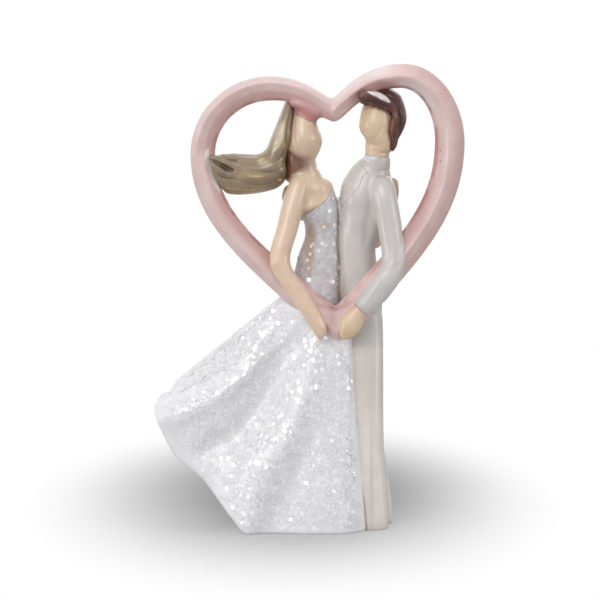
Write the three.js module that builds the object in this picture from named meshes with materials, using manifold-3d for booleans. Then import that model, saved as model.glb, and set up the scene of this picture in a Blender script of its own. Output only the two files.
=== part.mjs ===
// A cast-resin wedding cake topper: a bride and a groom inside a standing heart.
// Millimetres, +Z up from the cake, -Y to the front, the bride on the -X side and the groom on +X.
// The origin lies on the underside of the gown, below the point of the heart.
import * as THREE from 'three';
import { mergeVertices } from 'three/addons/utils/BufferGeometryUtils.js';
import Module from 'manifold-3d';

const wasm = await Module();
wasm.setup();

// Driving dimensions: fits
const GLUE_GAP = 0.3;
const NECK_TENON = 3;
const WRIST_TENON = 3;

// Driving dimensions: heart frame. Heights and reaches are those of the bar's centre line.
const HEART_DEPTH = 8.4;
const HEART_SET_FORWARD = 4;
const NOTCH_BAR_WIDTH = 5.8;
const CREST_BAR_WIDTH = 7.2;
const LEFT_BAR_WIDTH = 7.4;
const RIGHT_BAR_WIDTH = 8.9;
const TIP_BAR_WIDTH = 8.2;
const RIDGE_SET_LEFT = 0.8;
const LEFT_LIMB_FULLNESS = 0.445;
const RIGHT_LIMB_FULLNESS = 0.48;
const NOTCH_HEIGHT = 124.3;
const TIP_HEIGHT = 61;
const TIP_OUT = 0.6;
const LEFT_CREST_OUT = 19.2;
const LEFT_CREST_HEIGHT = 131.4;
const LEFT_SIDE_OUT = 39.3;
const LEFT_SIDE_HEIGHT = 112;
const RIGHT_CREST_OUT = 19.8;
const RIGHT_CREST_HEIGHT = 135.1;
const RIGHT_SIDE_OUT = 33.9;
const RIGHT_SIDE_HEIGHT = 115.5;

// Driving dimensions: bride. Widths run across the front view and depths along Y.
const COUPLE_SET_BACK = 1.2;
const BRIDE_HIP_HEIGHT = 68.5;
const BRIDE_HIP_TO_WAIST = 20.5;
const BRIDE_WAIST_TO_BUST = 6.5;
const BRIDE_BUST_TO_SHOULDER = 5.6;
const BRIDE_SHOULDER_TO_NECK = 6.4;
const BRIDE_NECK_TO_FACE = 9.6;
const BRIDE_FACE_TO_CROWN = 10.4;
const BRIDE_WAIST_OUT = 4.2;
const BRIDE_HIP_WIDTH = 15.4;
const BRIDE_HIP_DEPTH = 12;
const BRIDE_WAIST_WIDTH = 10.6;
const BRIDE_WAIST_DEPTH = 9.6;
const BRIDE_BUST_WIDTH = 11.2;
const BRIDE_BUST_DEPTH = 11;
const BRIDE_SHOULDER_WIDTH = 13.6;
const BRIDE_SHOULDER_DEPTH = 10.6;
const BRIDE_NECK_OUT = 8.5;
const BRIDE_NECK_WIDTH = 6.4;
const BRIDE_FACE_WIDTH = 10;
const BRIDE_FACE_DEPTH = 11;
const BRIDE_ARM_WIDTH = 6.2;
const BRIDE_WRIST_WIDTH = 4.4;
const BRIDE_ELBOW_OUT = 16.4;
const BRIDE_UPPER_ARM = 21.6;
const NECKLINE_RISE = 1;
const NECKLINE_SLOPE_DEG = 38;

// Driving dimensions: bride's wind-blown hair
const HAIR_LOCK_WIDTH = 8;
const HAIR_SWEEP_DROP = 11;
const HAIR_SWEEP_WIDTH = 12.2;
const HAIR_SWEEP_DEPTH = 9;
const HAIR_TIP_OVERLAP = 1.5;

// Driving dimensions: gown skirt
const SKIRT_RIGHT_OUT = 9.4;
const SKIRT_TOE_OUT = 25.5;
const SKIRT_FRONT = 17;
const SKIRT_BACK = 14;
const SKIRT_WALL = 1.6;
const WAIST_PEG = 9;
const TRAIN_REACH = 53.6;
const TRAIN_HEIGHT = 37.9;
const TRAIN_NOTCH = 6;

// Driving dimensions: groom
const GROOM_HEM_HEIGHT = 54.5;
const GROOM_HEM_TO_WAIST = 30;
const GROOM_WAIST_TO_CHEST = 16;
const GROOM_CHEST_TO_COLLAR = 10;
const GROOM_COLLAR_TO_FACE = 10;
const GROOM_FACE_TO_CROWN = 9.5;
const GROOM_WAIST_OUT = 6.6;
const GROOM_HEM_WIDTH = 12.4;
const GROOM_WAIST_WIDTH = 11;
const GROOM_WAIST_DEPTH = 10;
const GROOM_CHEST_WIDTH = 16.2;
const GROOM_CHEST_DEPTH = 12;
const GROOM_NECK_OUT = 12.6;
const GROOM_NECK_WIDTH = 6.6;
const GROOM_FACE_WIDTH = 10.6;
const GROOM_FACE_DEPTH = 11;
const GROOM_HAIR_THICKNESS = 1.5;
const GROOM_HAIR_BULK = 2.6;
const SHIRT_COLLAR_WIDTH = 8.6;
const LAPEL_THICKNESS = 0.7;
const LAPEL_OPENING = 1.6;
const SLEEVE_WIDTH = 7.2;
const CUFF_WIDTH = 6;
const GROOM_ELBOW_OUT = 17.3;
const GROOM_UPPER_ARM = 21;
const GROOM_HAND_LENGTH = 10.5;
const GROOM_HAND_WIDTH = 5.8;
const LEG_WIDTH = 10;
const LEG_DEPTH = 10;
const LEG_OUT = 10.6;
const LEG_SPREAD = 9;

// Facet counts
const BODY_SIDES = 14;
const BODY_ROWS = 12;
const LIMB_SIDES = 12;
const LIMB_ROWS = 14;
const BAR_SIDES = 12;
const BAR_STEPS = 7;
const SKIRT_COLUMNS = 24;
const SKIRT_ROWS = 6;

// Landmarks worked out from the dimensions above. x and y are those of the neck, the rest are heights.
const heartY = -HEART_SET_FORWARD;
const handY = heartY - HEART_DEPTH / 2 - 1;
const bride = { x: -BRIDE_NECK_OUT, y: COUPLE_SET_BACK, hip: BRIDE_HIP_HEIGHT };
bride.waist = bride.hip + BRIDE_HIP_TO_WAIST;
bride.bust = bride.waist + BRIDE_WAIST_TO_BUST;
bride.shoulder = bride.bust + BRIDE_BUST_TO_SHOULDER;
bride.neck = bride.shoulder + BRIDE_SHOULDER_TO_NECK;
bride.face = bride.neck + BRIDE_NECK_TO_FACE;
bride.crown = bride.face + BRIDE_FACE_TO_CROWN;
bride.elbow = bride.shoulder - BRIDE_UPPER_ARM;
const groom = { x: GROOM_NECK_OUT, y: COUPLE_SET_BACK, hem: GROOM_HEM_HEIGHT };
groom.waist = groom.hem + GROOM_HEM_TO_WAIST;
groom.chest = groom.waist + GROOM_WAIST_TO_CHEST;
groom.collar = groom.chest + GROOM_CHEST_TO_COLLAR;
groom.face = groom.collar + GROOM_COLLAR_TO_FACE;
groom.crown = groom.face + GROOM_FACE_TO_CROWN;
groom.elbow = groom.chest - GROOM_UPPER_ARM;
const middle = (a, b) => (a + b) / 2;

// Colours and finishes of the painted resin
const paint = (color, roughness) => new THREE.MeshStandardMaterial({ color, roughness, metalness: 0 });
const paints = {
  pink: paint(0xe3c0bd, 0.35),
  skin: paint(0xdcb894, 0.35),
  blonde: paint(0x8f7a5c, 0.4),
  brunette: paint(0x4a3330, 0.3),
  gown: paint(0xe4e4e6, 0.45),
  suit: paint(0xdedad6, 0.45),
  shirt: paint(0xd3d9e2, 0.45),
};

// Turns a closed three.js geometry into a solid that can be cut.
function solidFrom(geometry) {
  const bare = geometry.clone();
  bare.deleteAttribute('normal');
  bare.deleteAttribute('uv');
  const merged = mergeVertices(bare, 1e-4);
  const vertProperties = new Float32Array(merged.attributes.position.array);
  const triVerts = new Uint32Array(merged.index.array);
  return new wasm.Manifold(new wasm.Mesh({ numProp: 3, vertProperties, triVerts }));
}

// Turns a solid back into a three.js geometry.
function geometryFrom(solid) {
  const mesh = solid.getMesh();
  const geometry = new THREE.BufferGeometry();
  geometry.setAttribute('position', new THREE.BufferAttribute(mesh.vertProperties, 3));
  geometry.setIndex(new THREE.BufferAttribute(mesh.triVerts, 1));
  geometry.computeVertexNormals();
  return geometry;
}

// One cross-section of a limb or a body: its centre, its width in the front view and its depth.
const station = (x, y, z, wide, deep = wide) => ({ centre: new THREE.Vector3(x, y, z), wide, deep });

// A body that swells and tapers through its stations. A blunt body keeps its girth up to its ends, and a
// bluntness of 2 rounds it like an egg. Growing it moves its skin outwards by that distance.
function sweptBody(stations, { grow = 0, sides = LIMB_SIDES, rows = BODY_ROWS, bluntness = 5 } = {}) {
  const spine = new THREE.CatmullRomCurve3(stations.map((s) => s.centre));
  const girth = new THREE.CatmullRomCurve3(stations.map((s) => new THREE.Vector3(s.wide, s.deep, 0)));
  const geometry = new THREE.SphereGeometry(1, sides, rows);
  const position = geometry.attributes.position;
  const frontToBack = new THREE.Vector3(0, 1, 0);
  for (let row = 0; row <= rows; row++) {
    const along = (1 - Math.cos((Math.PI * row) / rows)) / 2;
    const rounding = Math.pow(1 - Math.pow(Math.abs(2 * along - 1), bluntness), 1 / bluntness);
    const tangent = spine.getTangent(along);
    const centre = spine.getPoint(along).addScaledVector(tangent, grow * (2 * along - 1));
    const deepAxis = frontToBack.clone().addScaledVector(tangent, -tangent.y).normalize();
    const wideAxis = deepAxis.clone().cross(tangent);
    const size = girth.getPoint(along);
    for (let side = 0; side <= sides; side++) {
      const turn = (2 * Math.PI * side) / sides;
      const point = centre
        .clone()
        .addScaledVector(wideAxis, -Math.cos(turn) * (size.x / 2 + grow) * rounding)
        .addScaledVector(deepAxis, Math.sin(turn) * (size.y / 2 + grow) * rounding);
      position.setXYZ(row * (sides + 1) + side, point.x, point.y, point.z);
    }
  }
  return solidFrom(geometry);
}

// A wide flat slab whose lower face passes through a point of the front view and rises to the right.
function slabAbove(x, z, slopeDeg) {
  const reach = 2 * TRAIN_REACH;
  const slab = new THREE.BoxGeometry(reach, reach, reach).translate(0, 0, reach / 2);
  slab.rotateY(-THREE.MathUtils.degToRad(slopeDeg)).translate(x, 0, z);
  return solidFrom(slab);
}

// A prism along Y over an outline of the front view, between two depths.
function prism(outline, nearY, farY) {
  const shape = new THREE.Shape(outline.map(([x, z]) => new THREE.Vector2(x, z)));
  const geometry = new THREE.ExtrudeGeometry(shape, { depth: farY - nearY, bevelEnabled: false });
  geometry.rotateX(Math.PI / 2).translate(0, farY, 0);
  return solidFrom(geometry);
}

// Heart frame: one closed bar of ridged section, mitred at the notch and at the tip.
const frontView = (x, z) => new THREE.Vector3(x, 0, z);
const notch = frontView(-TIP_OUT, NOTCH_HEIGHT);
const tip = frontView(TIP_OUT, TIP_HEIGHT);

// One half of the heart: three runs of bar, from the notch over the crest and the flank to the tip.
function heartHalf(side, crestOut, crestHeight, flankOut, flankHeight, flankWidth, fullness) {
  const crest = frontView(side * crestOut, crestHeight);
  const flank = frontView(side * flankOut, flankHeight);
  const climb = crest.z - notch.z;
  const shoulder = 0.55 * (flankOut - crestOut);
  const rise = 0.55 * (crest.z - flank.z);
  const fall = flank.z - tip.z;
  const run = (from, leave, arrive, to, fromWidth, toWidth) => ({
    curve: new THREE.CubicBezierCurve3(from, leave, arrive, to),
    fromWidth,
    toWidth,
  });
  return [
    run(
      notch,
      frontView(notch.x + side * 0.34 * crestOut, notch.z + 0.66 * climb),
      frontView(crest.x - side * 0.4 * crestOut, crest.z),
      crest,
      NOTCH_BAR_WIDTH,
      CREST_BAR_WIDTH,
    ),
    run(
      crest,
      frontView(crest.x + side * shoulder, crest.z),
      frontView(flank.x, flank.z + rise),
      flank,
      CREST_BAR_WIDTH,
      flankWidth,
    ),
    run(
      flank,
      frontView(flank.x, flank.z - 0.42 * fall),
      frontView(side * fullness * flankOut, tip.z + 0.34 * fall),
      tip,
      flankWidth,
      TIP_BAR_WIDTH,
    ),
  ];
}

// The bar's centre line and widths, run anticlockwise in the front view from the notch and back to it.
function heartLine() {
  const left = heartHalf(
    -1,
    LEFT_CREST_OUT,
    LEFT_CREST_HEIGHT,
    LEFT_SIDE_OUT,
    LEFT_SIDE_HEIGHT,
    LEFT_BAR_WIDTH,
    LEFT_LIMB_FULLNESS,
  );
  const right = heartHalf(
    1,
    RIGHT_CREST_OUT,
    RIGHT_CREST_HEIGHT,
    RIGHT_SIDE_OUT,
    RIGHT_SIDE_HEIGHT,
    RIGHT_BAR_WIDTH,
    RIGHT_LIMB_FULLNESS,
  );
  const sample = ({ curve, fromWidth, toWidth }, share) => ({
    point: curve.getPoint(share),
    width: THREE.MathUtils.lerp(fromWidth, toWidth, share),
  });
  const line = [];
  for (const run of left) {
    for (let step = 0; step < BAR_STEPS; step++) {
      line.push(sample(run, step / BAR_STEPS));
    }
  }
  for (const run of right.reverse()) {
    for (let step = BAR_STEPS; step > 0; step--) {
      line.push(sample(run, step / BAR_STEPS));
    }
  }
  return line;
}

function heartFrame(grow) {
  const line = heartLine();
  const steps = line.length;
  const geometry = new THREE.TorusGeometry(1, 0.4, BAR_SIDES, steps);
  const position = geometry.attributes.position;
  const soften = (value) => Math.sign(value) * Math.pow(Math.abs(value), 1.3);
  for (let step = 0; step <= steps; step++) {
    const { point: here, width } = line[step % steps];
    const into = here.clone().sub(line[(step + steps - 1) % steps].point).normalize();
    const away = line[(step + 1) % steps].point.clone().sub(here).normalize();
    const along = into.clone().add(away).normalize();
    const outward = frontView(along.z, -along.x);
    const halfWidth = (width / 2 + grow) / along.dot(away);
    for (let side = 0; side <= BAR_SIDES; side++) {
      const turn = (2 * Math.PI * side) / BAR_SIDES;
      const towardsFront = soften(Math.sin(turn));
      const point = here.clone().addScaledVector(outward, soften(Math.cos(turn)) * halfWidth);
      point.x -= RIDGE_SET_LEFT * Math.max(0, towardsFront);
      point.y = heartY - towardsFront * (HEART_DEPTH / 2 + grow);
      position.setXYZ(side * (steps + 1) + step, point.x, point.y, point.z);
    }
  }
  return solidFrom(geometry);
}

// Bride: the torso is one body that a slanted neckline divides into bodice and bare shoulders.
function brideTorso(grow) {
  const { x, y, hip, waist, bust, shoulder, neck } = bride;
  const waistX = -BRIDE_WAIST_OUT;
  const ribsWidth = middle(BRIDE_HIP_WIDTH, BRIDE_WAIST_WIDTH);
  const ribsDepth = middle(BRIDE_HIP_DEPTH, BRIDE_WAIST_DEPTH);
  const slopeWidth = middle(BRIDE_SHOULDER_WIDTH, BRIDE_NECK_WIDTH);
  const slopeDepth = middle(BRIDE_SHOULDER_DEPTH, BRIDE_NECK_WIDTH);
  const pegWidth = BRIDE_HIP_WIDTH - 2 * SKIRT_WALL;
  const pegDepth = BRIDE_HIP_DEPTH - 2 * SKIRT_WALL;
  const stations = [
    station(waistX - 1.8, y + 0.4, hip - WAIST_PEG, pegWidth, pegDepth),
    station(waistX - 1.6, y + 0.6, hip, BRIDE_HIP_WIDTH, BRIDE_HIP_DEPTH),
    station(waistX - 0.8, y + 0.4, middle(hip, waist), ribsWidth, ribsDepth),
    station(waistX, y, waist, BRIDE_WAIST_WIDTH, BRIDE_WAIST_DEPTH),
    station(waistX - 0.6, y - 0.4, bust, BRIDE_BUST_WIDTH, BRIDE_BUST_DEPTH),
    station(x + 2, y - 0.6, shoulder, BRIDE_SHOULDER_WIDTH, BRIDE_SHOULDER_DEPTH),
    station(x + 0.7, y - 0.8, middle(shoulder, neck), slopeWidth, slopeDepth),
    station(x, y - 1, neck, BRIDE_NECK_WIDTH + 0.6),
  ];
  return sweptBody(stations, { grow, sides: BODY_SIDES, rows: BODY_ROWS + 4, bluntness: 8 });
}

const aboveNeckline = (raise) =>
  slabAbove(-BRIDE_WAIST_OUT - 0.6, bride.bust + NECKLINE_RISE + raise, NECKLINE_SLOPE_DEG);
const brideShoulders = (grow) => brideTorso(grow).intersect(aboveNeckline(GLUE_GAP - grow));
const brideBodice = (grow) => brideTorso(grow).subtract(aboveNeckline(grow));

function brideHead(grow) {
  const { x, y, neck, face, crown } = bride;
  const stations = [
    station(x, y - 1, neck - NECK_TENON, BRIDE_NECK_WIDTH - 0.8),
    station(x, y - 1, neck, BRIDE_NECK_WIDTH),
    station(x - 0.6, y - 1.8, middle(neck, face) + 0.4, BRIDE_FACE_WIDTH - 1.6, BRIDE_FACE_DEPTH - 2),
    station(x - 0.9, y - 2.2, face, BRIDE_FACE_WIDTH, BRIDE_FACE_DEPTH),
    station(x - 1.2, y - 1.8, middle(face, crown), BRIDE_FACE_WIDTH - 0.8, BRIDE_FACE_DEPTH),
    station(x - 1.6, y - 1, crown, BRIDE_FACE_WIDTH - 4, BRIDE_FACE_DEPTH - 4),
  ];
  return sweptBody(stations, { grow, sides: BODY_SIDES });
}

// The near arm hangs from the shoulder, bends at the elbow and rests its hand on the heart's tip.
function brideRightArm(grow) {
  const { x, y, shoulder, elbow } = bride;
  const elbowX = -BRIDE_ELBOW_OUT;
  const upperArmX = middle(x - 3.2, elbowX);
  const forearmX = middle(TIP_OUT - 3.8, elbowX);
  const forearmY = middle(y - 8.8, handY);
  const forearmWidth = middle(BRIDE_ARM_WIDTH, BRIDE_WRIST_WIDTH);
  const stations = [
    station(x - 1, y - 3, shoulder + 1.6, BRIDE_ARM_WIDTH - 0.8),
    station(x - 2.8, y - 5, shoulder - 1.4, BRIDE_ARM_WIDTH + 0.6),
    station(upperArmX, y - 6.6, middle(shoulder, elbow), BRIDE_ARM_WIDTH, BRIDE_ARM_WIDTH - 0.4),
    station(elbowX, y - 8, elbow, BRIDE_ARM_WIDTH - 0.2, BRIDE_ARM_WIDTH - 0.6),
    station(forearmX, forearmY, middle(elbow, TIP_HEIGHT) - 1, forearmWidth, BRIDE_WRIST_WIDTH + 0.4),
    station(TIP_OUT - 5.6, handY, TIP_HEIGHT + 0.4, BRIDE_WRIST_WIDTH),
    station(TIP_OUT - 4.6, handY + 0.2, TIP_HEIGHT - 3, BRIDE_WRIST_WIDTH - 0.8),
  ];
  return sweptBody(stations, { grow, rows: LIMB_ROWS, bluntness: 8 });
}

// The far arm passes behind the groom, and its hand lies on the back of his shoulder.
function brideLeftArm(grow) {
  const { x, y, shoulder } = bride;
  const stations = [
    station(x + 3.4, y + 3, shoulder + 0.4, BRIDE_ARM_WIDTH - 0.8),
    station(x + 7.5, y + 6.2, shoulder - 3, BRIDE_ARM_WIDTH - 0.6),
    station(groom.x - 6.6, y + 7.6, groom.waist + 6, BRIDE_ARM_WIDTH - 1),
    station(groom.x - 1.2, y + 7.4, groom.waist + 2.4, BRIDE_ARM_WIDTH - 0.8),
    station(groom.x + 2, y + 7.2, groom.chest - 7, BRIDE_WRIST_WIDTH + 0.4),
    station(groom.x + 4, y + 5.4, groom.chest - 0.6, BRIDE_WRIST_WIDTH),
    station(groom.x + 4.4, y + 4, groom.chest + 4, BRIDE_WRIST_WIDTH - 0.8),
  ];
  return sweptBody(stations, { grow, rows: LIMB_ROWS, bluntness: 8 });
}

// Hair: a thick lock beside the face, and the mass that the wind carries out to the heart's side.
const sweepHeight = bride.face - HAIR_SWEEP_DROP;
const sweepTipX = -LEFT_SIDE_OUT + LEFT_BAR_WIDTH / 2 - HAIR_TIP_OVERLAP;

function brideHairLock(grow) {
  const { x, y, face, crown } = bride;
  const stations = [
    station(x - 3.8, y + 0.4, crown + 0.5, HAIR_LOCK_WIDTH - 4.4, HAIR_LOCK_WIDTH),
    station(x - 4.4, y, face + 6, HAIR_LOCK_WIDTH - 2.6, HAIR_LOCK_WIDTH + 3),
    station(x - 5.7, y, face - 0.6, HAIR_LOCK_WIDTH, HAIR_LOCK_WIDTH + 4),
    station(x - 7.1, y, sweepHeight + 3, HAIR_LOCK_WIDTH + 3.4, HAIR_LOCK_WIDTH + 3),
  ];
  return sweptBody(stations, { grow, sides: BODY_SIDES, bluntness: 8 });
}

function brideHairSweep(grow) {
  const { x, y } = bride;
  const middleX = middle(x - 4.5, sweepTipX);
  const stations = [
    station(x - 2.1, y, sweepHeight + 2, HAIR_SWEEP_WIDTH - 4.6, HAIR_SWEEP_DEPTH),
    station(x - 9.9, y - 1.2, sweepHeight + 0.8, HAIR_SWEEP_WIDTH - 2.4, HAIR_SWEEP_DEPTH + 1),
    station(middleX, y - 2.4, sweepHeight, HAIR_SWEEP_WIDTH - 0.4, HAIR_SWEEP_DEPTH),
    station(sweepTipX + 6.2, y - 3.6, sweepHeight + 0.2, HAIR_SWEEP_WIDTH, HAIR_SWEEP_DEPTH - 1),
    station(sweepTipX + 1.8, y - 5, sweepHeight + 2.4, HAIR_SWEEP_WIDTH - 4, HAIR_SWEEP_DEPTH - 3),
    station(sweepTipX, y - 5.6, sweepHeight + 4.6, HAIR_SWEEP_WIDTH - 8.6, HAIR_SWEEP_DEPTH - 5),
  ];
  return sweptBody(stations, { grow, sides: BODY_SIDES });
}

// Gown skirt: fold lines run from the waist to the hem. Each has the place of its hem, the depths of the
// front and back cloth at that hem, and how far the line sags below a straight one.
const fold = (x, z, front, back, sag = 0) => ({ x, z, front, back, sag });

const foldLines = [
  fold(-TRAIN_REACH + 4.4, TRAIN_HEIGHT + 4.8, 2, SKIRT_BACK - 8),
  fold(-TRAIN_REACH + 4, TRAIN_HEIGHT + 2.2, 0, SKIRT_BACK - 5),
  fold(-TRAIN_REACH + TRAIN_NOTCH, TRAIN_HEIGHT + 0.4, -1, SKIRT_BACK - 4, 2),
  fold(-TRAIN_REACH, TRAIN_HEIGHT, -SKIRT_FRONT + 9.6, SKIRT_BACK - 3.4, 13),
  fold(-TRAIN_REACH + 0.6, TRAIN_HEIGHT - 4, -SKIRT_FRONT + 9.4, SKIRT_BACK - 2, 9),
  fold(-TRAIN_REACH + 5.4, TRAIN_HEIGHT * 0.61, -SKIRT_FRONT + 10, SKIRT_BACK - 1, 4),
  fold(-SKIRT_TOE_OUT - 13.6, TRAIN_HEIGHT * 0.4, -SKIRT_FRONT + 8.2, SKIRT_BACK - 3, 1),
  fold(-SKIRT_TOE_OUT - 5.8, TRAIN_HEIGHT * 0.14, -SKIRT_FRONT + 1.6, SKIRT_BACK - 1),
  fold(-SKIRT_TOE_OUT, 0, -SKIRT_FRONT + 2.4, SKIRT_BACK),
  fold(-SKIRT_TOE_OUT * 0.68, 0, -SKIRT_FRONT + 4.2, SKIRT_BACK - 2),
  fold(-SKIRT_TOE_OUT * 0.3, 0, -SKIRT_FRONT, SKIRT_BACK),
  fold(SKIRT_RIGHT_OUT - 7, 0, -SKIRT_FRONT + 1.6, SKIRT_BACK - 1),
  fold(SKIRT_RIGHT_OUT, 0, -SKIRT_FRONT + 8, SKIRT_BACK - 3),
];
const waistLeft = new THREE.Vector2(-BRIDE_WAIST_OUT - 9.8, bride.hip + 2.8);
const waistRight = new THREE.Vector2(SKIRT_RIGHT_OUT - 4, bride.hip - 8.5);

// A size of the fold lines, run smoothly from 0 at the train to 1 at the groom's side.
function acrossFolds(size, share) {
  const curve = new THREE.CatmullRomCurve3(foldLines.map((line) => new THREE.Vector3(line[size], 0, 0)));
  return curve.getPoint(share).x;
}

function skirtPoint(share, drop, isFront, grow) {
  const side = isFront ? -1 : 1;
  const hem = new THREE.Vector2(acrossFolds('x', share), Math.max(0, acrossFolds('z', share)));
  const place = waistLeft.clone().lerp(waistRight, share).lerp(hem, drop);
  place.y -= acrossFolds('sag', share) * 2 * drop * (1 - drop);
  const hemDepth = acrossFolds(isFront ? 'front' : 'back', share);
  const hipDepth = (BRIDE_HIP_DEPTH / 2) * Math.sqrt(Math.sin(Math.PI * share));
  const waistDepth = bride.y + side * (SKIRT_WALL + hipDepth);
  const depth = THREE.MathUtils.lerp(waistDepth, hemDepth, Math.pow(drop, 0.85));
  return new THREE.Vector3(place.x, depth + side * grow, place.y);
}

// The front cloth runs from the train to the groom's side and the back cloth returns, row below row.
function brideSkirt(grow) {
  const columns = SKIRT_COLUMNS;
  const around = 2 * (columns + 1);
  const points = [];
  for (let row = 0; row <= SKIRT_ROWS; row++) {
    for (let column = 0; column < around; column++) {
      const isFront = column <= columns;
      const share = (isFront ? column : around - 1 - column) / columns;
      const point = skirtPoint(share, row / SKIRT_ROWS, isFront, grow);
      if (share === 0) {
        point.x -= grow;
      }
      if (share === 1) {
        point.x += grow;
      }
      if (row === SKIRT_ROWS) {
        point.z -= grow;
      }
      points.push(point.x, point.y, point.z);
    }
  }
  const index = [];
  const quad = (a, b, c, d) => index.push(a, b, c, a, c, d);
  for (let row = 0; row < SKIRT_ROWS; row++) {
    const here = row * around;
    const below = here + around;
    for (let column = 0; column < around; column++) {
      const next = (column + 1) % around;
      quad(here + column, below + column, below + next, here + next);
    }
  }
  const hem = SKIRT_ROWS * around;
  for (let column = 0; column < columns; column++) {
    const behind = around - 1 - column;
    quad(column, column + 1, behind - 1, behind);
    quad(hem + column + 1, hem + column, hem + behind, hem + behind - 1);
  }
  const geometry = new THREE.BufferGeometry();
  geometry.setAttribute('position', new THREE.Float32BufferAttribute(points, 3));
  geometry.setIndex(index);
  return solidFrom(geometry);
}

// Groom
function groomHead(grow) {
  const { x, y, collar, face, crown } = groom;
  const stations = [
    station(x, y - 0.8, collar + 1 - NECK_TENON, GROOM_NECK_WIDTH - 0.6),
    station(x, y - 1, collar + 1, GROOM_NECK_WIDTH),
    station(x - 0.2, y - 1.8, face - 4.6, GROOM_FACE_WIDTH - 2, GROOM_FACE_DEPTH - 2),
    station(x - 0.2, y - 2.4, face, GROOM_FACE_WIDTH, GROOM_FACE_DEPTH),
    station(x + 0.2, y - 2.2, middle(face, crown), GROOM_FACE_WIDTH - 0.4, GROOM_FACE_DEPTH - 0.4),
    station(x + 1, y - 2, crown - GROOM_HAIR_THICKNESS, GROOM_FACE_WIDTH - 4, GROOM_FACE_DEPTH - 4),
  ];
  return sweptBody(stations, { grow, sides: BODY_SIDES });
}

// The hair is a cap over the top and back of the head, cut to a hairline, with its quiff over the brow.
function groomHair(grow) {
  const { x, y, face, crown } = groom;
  const wide = GROOM_FACE_WIDTH + 2 * GROOM_HAIR_THICKNESS;
  const deep = GROOM_FACE_DEPTH + 2 * GROOM_HAIR_THICKNESS;
  const stations = [
    station(x + GROOM_HAIR_BULK + 1, y - 1, face - 8.4, GROOM_NECK_WIDTH - 3, GROOM_NECK_WIDTH),
    station(x + GROOM_HAIR_BULK, y - 1.4, face - 4, wide - 4, deep - 3),
    station(x + GROOM_HAIR_BULK - 1, y - 1.8, face + 2.6, wide - 0.4, deep),
    station(x + 0.4, y - 2, crown - 2.4, wide - 0.6, deep - 1),
    station(x - 0.6, y - 2, crown + GROOM_HAIR_THICKNESS, wide - 6, deep - 6),
  ];
  const hairline = [
    [x - 3.4, crown - 3.6],
    [x - 0.6, crown - 4.6],
    [x + 3.6, crown - 6],
    [x + 3.4, face + 1],
    [x + 2.6, face - 3.2],
    [x + 3.8, face - 9],
    [x + 12, face - 9],
    [x + 12, crown + 6],
    [x - 3.4, crown + 6],
  ];
  return sweptBody(stations, { grow, sides: BODY_SIDES }).intersect(prism(hairline, y - deep, y + deep));
}

function groomJacket(grow) {
  const { x, y, hem, waist, chest, collar } = groom;
  const waistX = GROOM_WAIST_OUT;
  const skirtWidth = middle(GROOM_HEM_WIDTH, GROOM_WAIST_WIDTH);
  const ribsWidth = middle(GROOM_WAIST_WIDTH, GROOM_CHEST_WIDTH);
  const ribsDepth = middle(GROOM_WAIST_DEPTH, GROOM_CHEST_DEPTH);
  const slopeWidth = middle(GROOM_CHEST_WIDTH, SHIRT_COLLAR_WIDTH) + 0.6;
  const slopeDepth = middle(GROOM_CHEST_DEPTH, SHIRT_COLLAR_WIDTH);
  const stations = [
    station(waistX + 2, y, hem, GROOM_HEM_WIDTH, GROOM_WAIST_DEPTH + 0.6),
    station(waistX + 0.6, y, middle(hem, waist), skirtWidth, GROOM_WAIST_DEPTH),
    station(waistX, y, waist, GROOM_WAIST_WIDTH, GROOM_WAIST_DEPTH),
    station((waistX * 2 + x) / 3 - 0.4, y, middle(waist, chest), ribsWidth, ribsDepth),
    station(x - 2.8, y, chest, GROOM_CHEST_WIDTH, GROOM_CHEST_DEPTH),
    station(x - 1.8, y - 0.2, middle(chest, collar), slopeWidth, slopeDepth),
    station(x, y - 0.8, collar - 0.4, SHIRT_COLLAR_WIDTH),
  ];
  return sweptBody(stations, { grow, sides: BODY_SIDES, rows: BODY_ROWS + 4, bluntness: 9 });
}

function groomShirtCollar(grow) {
  const { x, y, collar } = groom;
  const stations = [
    station(x - 0.2, y - 0.8, collar - 3, SHIRT_COLLAR_WIDTH - 0.4),
    station(x, y - 1, collar + 1.6, SHIRT_COLLAR_WIDTH),
  ];
  return sweptBody(stations, { grow, rows: 6, bluntness: 12 });
}

// Lapels and collar lie on the jacket as thin raised sheets, each over its own outline of the front view.
const lapelOutline = [
  [groom.x - 12.6, groom.chest - 5],
  [groom.x - 11, groom.chest - 4],
  [groom.x - 5.6, groom.chest + 1.8],
  [groom.x - 4.2, groom.chest + 5.4],
  [groom.x - 2.4, groom.chest + 6.2],
  [groom.x - 5.4, groom.collar - 1],
  [groom.x - 12.6, groom.collar - 1],
];
const collarOutline = [
  [groom.x - 4.8, groom.collar - 1.6],
  [groom.x - 1.8, groom.collar - 3.8],
  [groom.x + 1, groom.collar - 3],
  [groom.x + 6.4, groom.collar - 2.4],
  [groom.x + 6.4, groom.collar + 1],
  [groom.x - 4.8, groom.collar + 1],
];
const nearSide = groom.y - GROOM_CHEST_DEPTH;
const farSide = groom.y + GROOM_CHEST_DEPTH;
const raisedOnJacket = (outline, nearY, farY) =>
  groomJacket(LAPEL_THICKNESS + GLUE_GAP).intersect(prism(outline, nearY, farY));
const groomLeftLapel = () => raisedOnJacket(lapelOutline, nearSide, groom.y - LAPEL_OPENING / 2);
const groomRightLapel = () => raisedOnJacket(lapelOutline, groom.y + LAPEL_OPENING / 2, farSide);
const groomCollar = () => raisedOnJacket(collarOutline, nearSide, farSide);

// The near hand lies beside the bride's on the heart's tip. Its line runs from the fingers to the wrist.
function handPoint(share) {
  const fingers = new THREE.Vector3(TIP_OUT + 1.4, handY, TIP_HEIGHT - 2);
  const toWrist = new THREE.Vector3(0.6, 0, 0.8).multiplyScalar(GROOM_HAND_LENGTH);
  return fingers.addScaledVector(toWrist, share);
}

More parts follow.
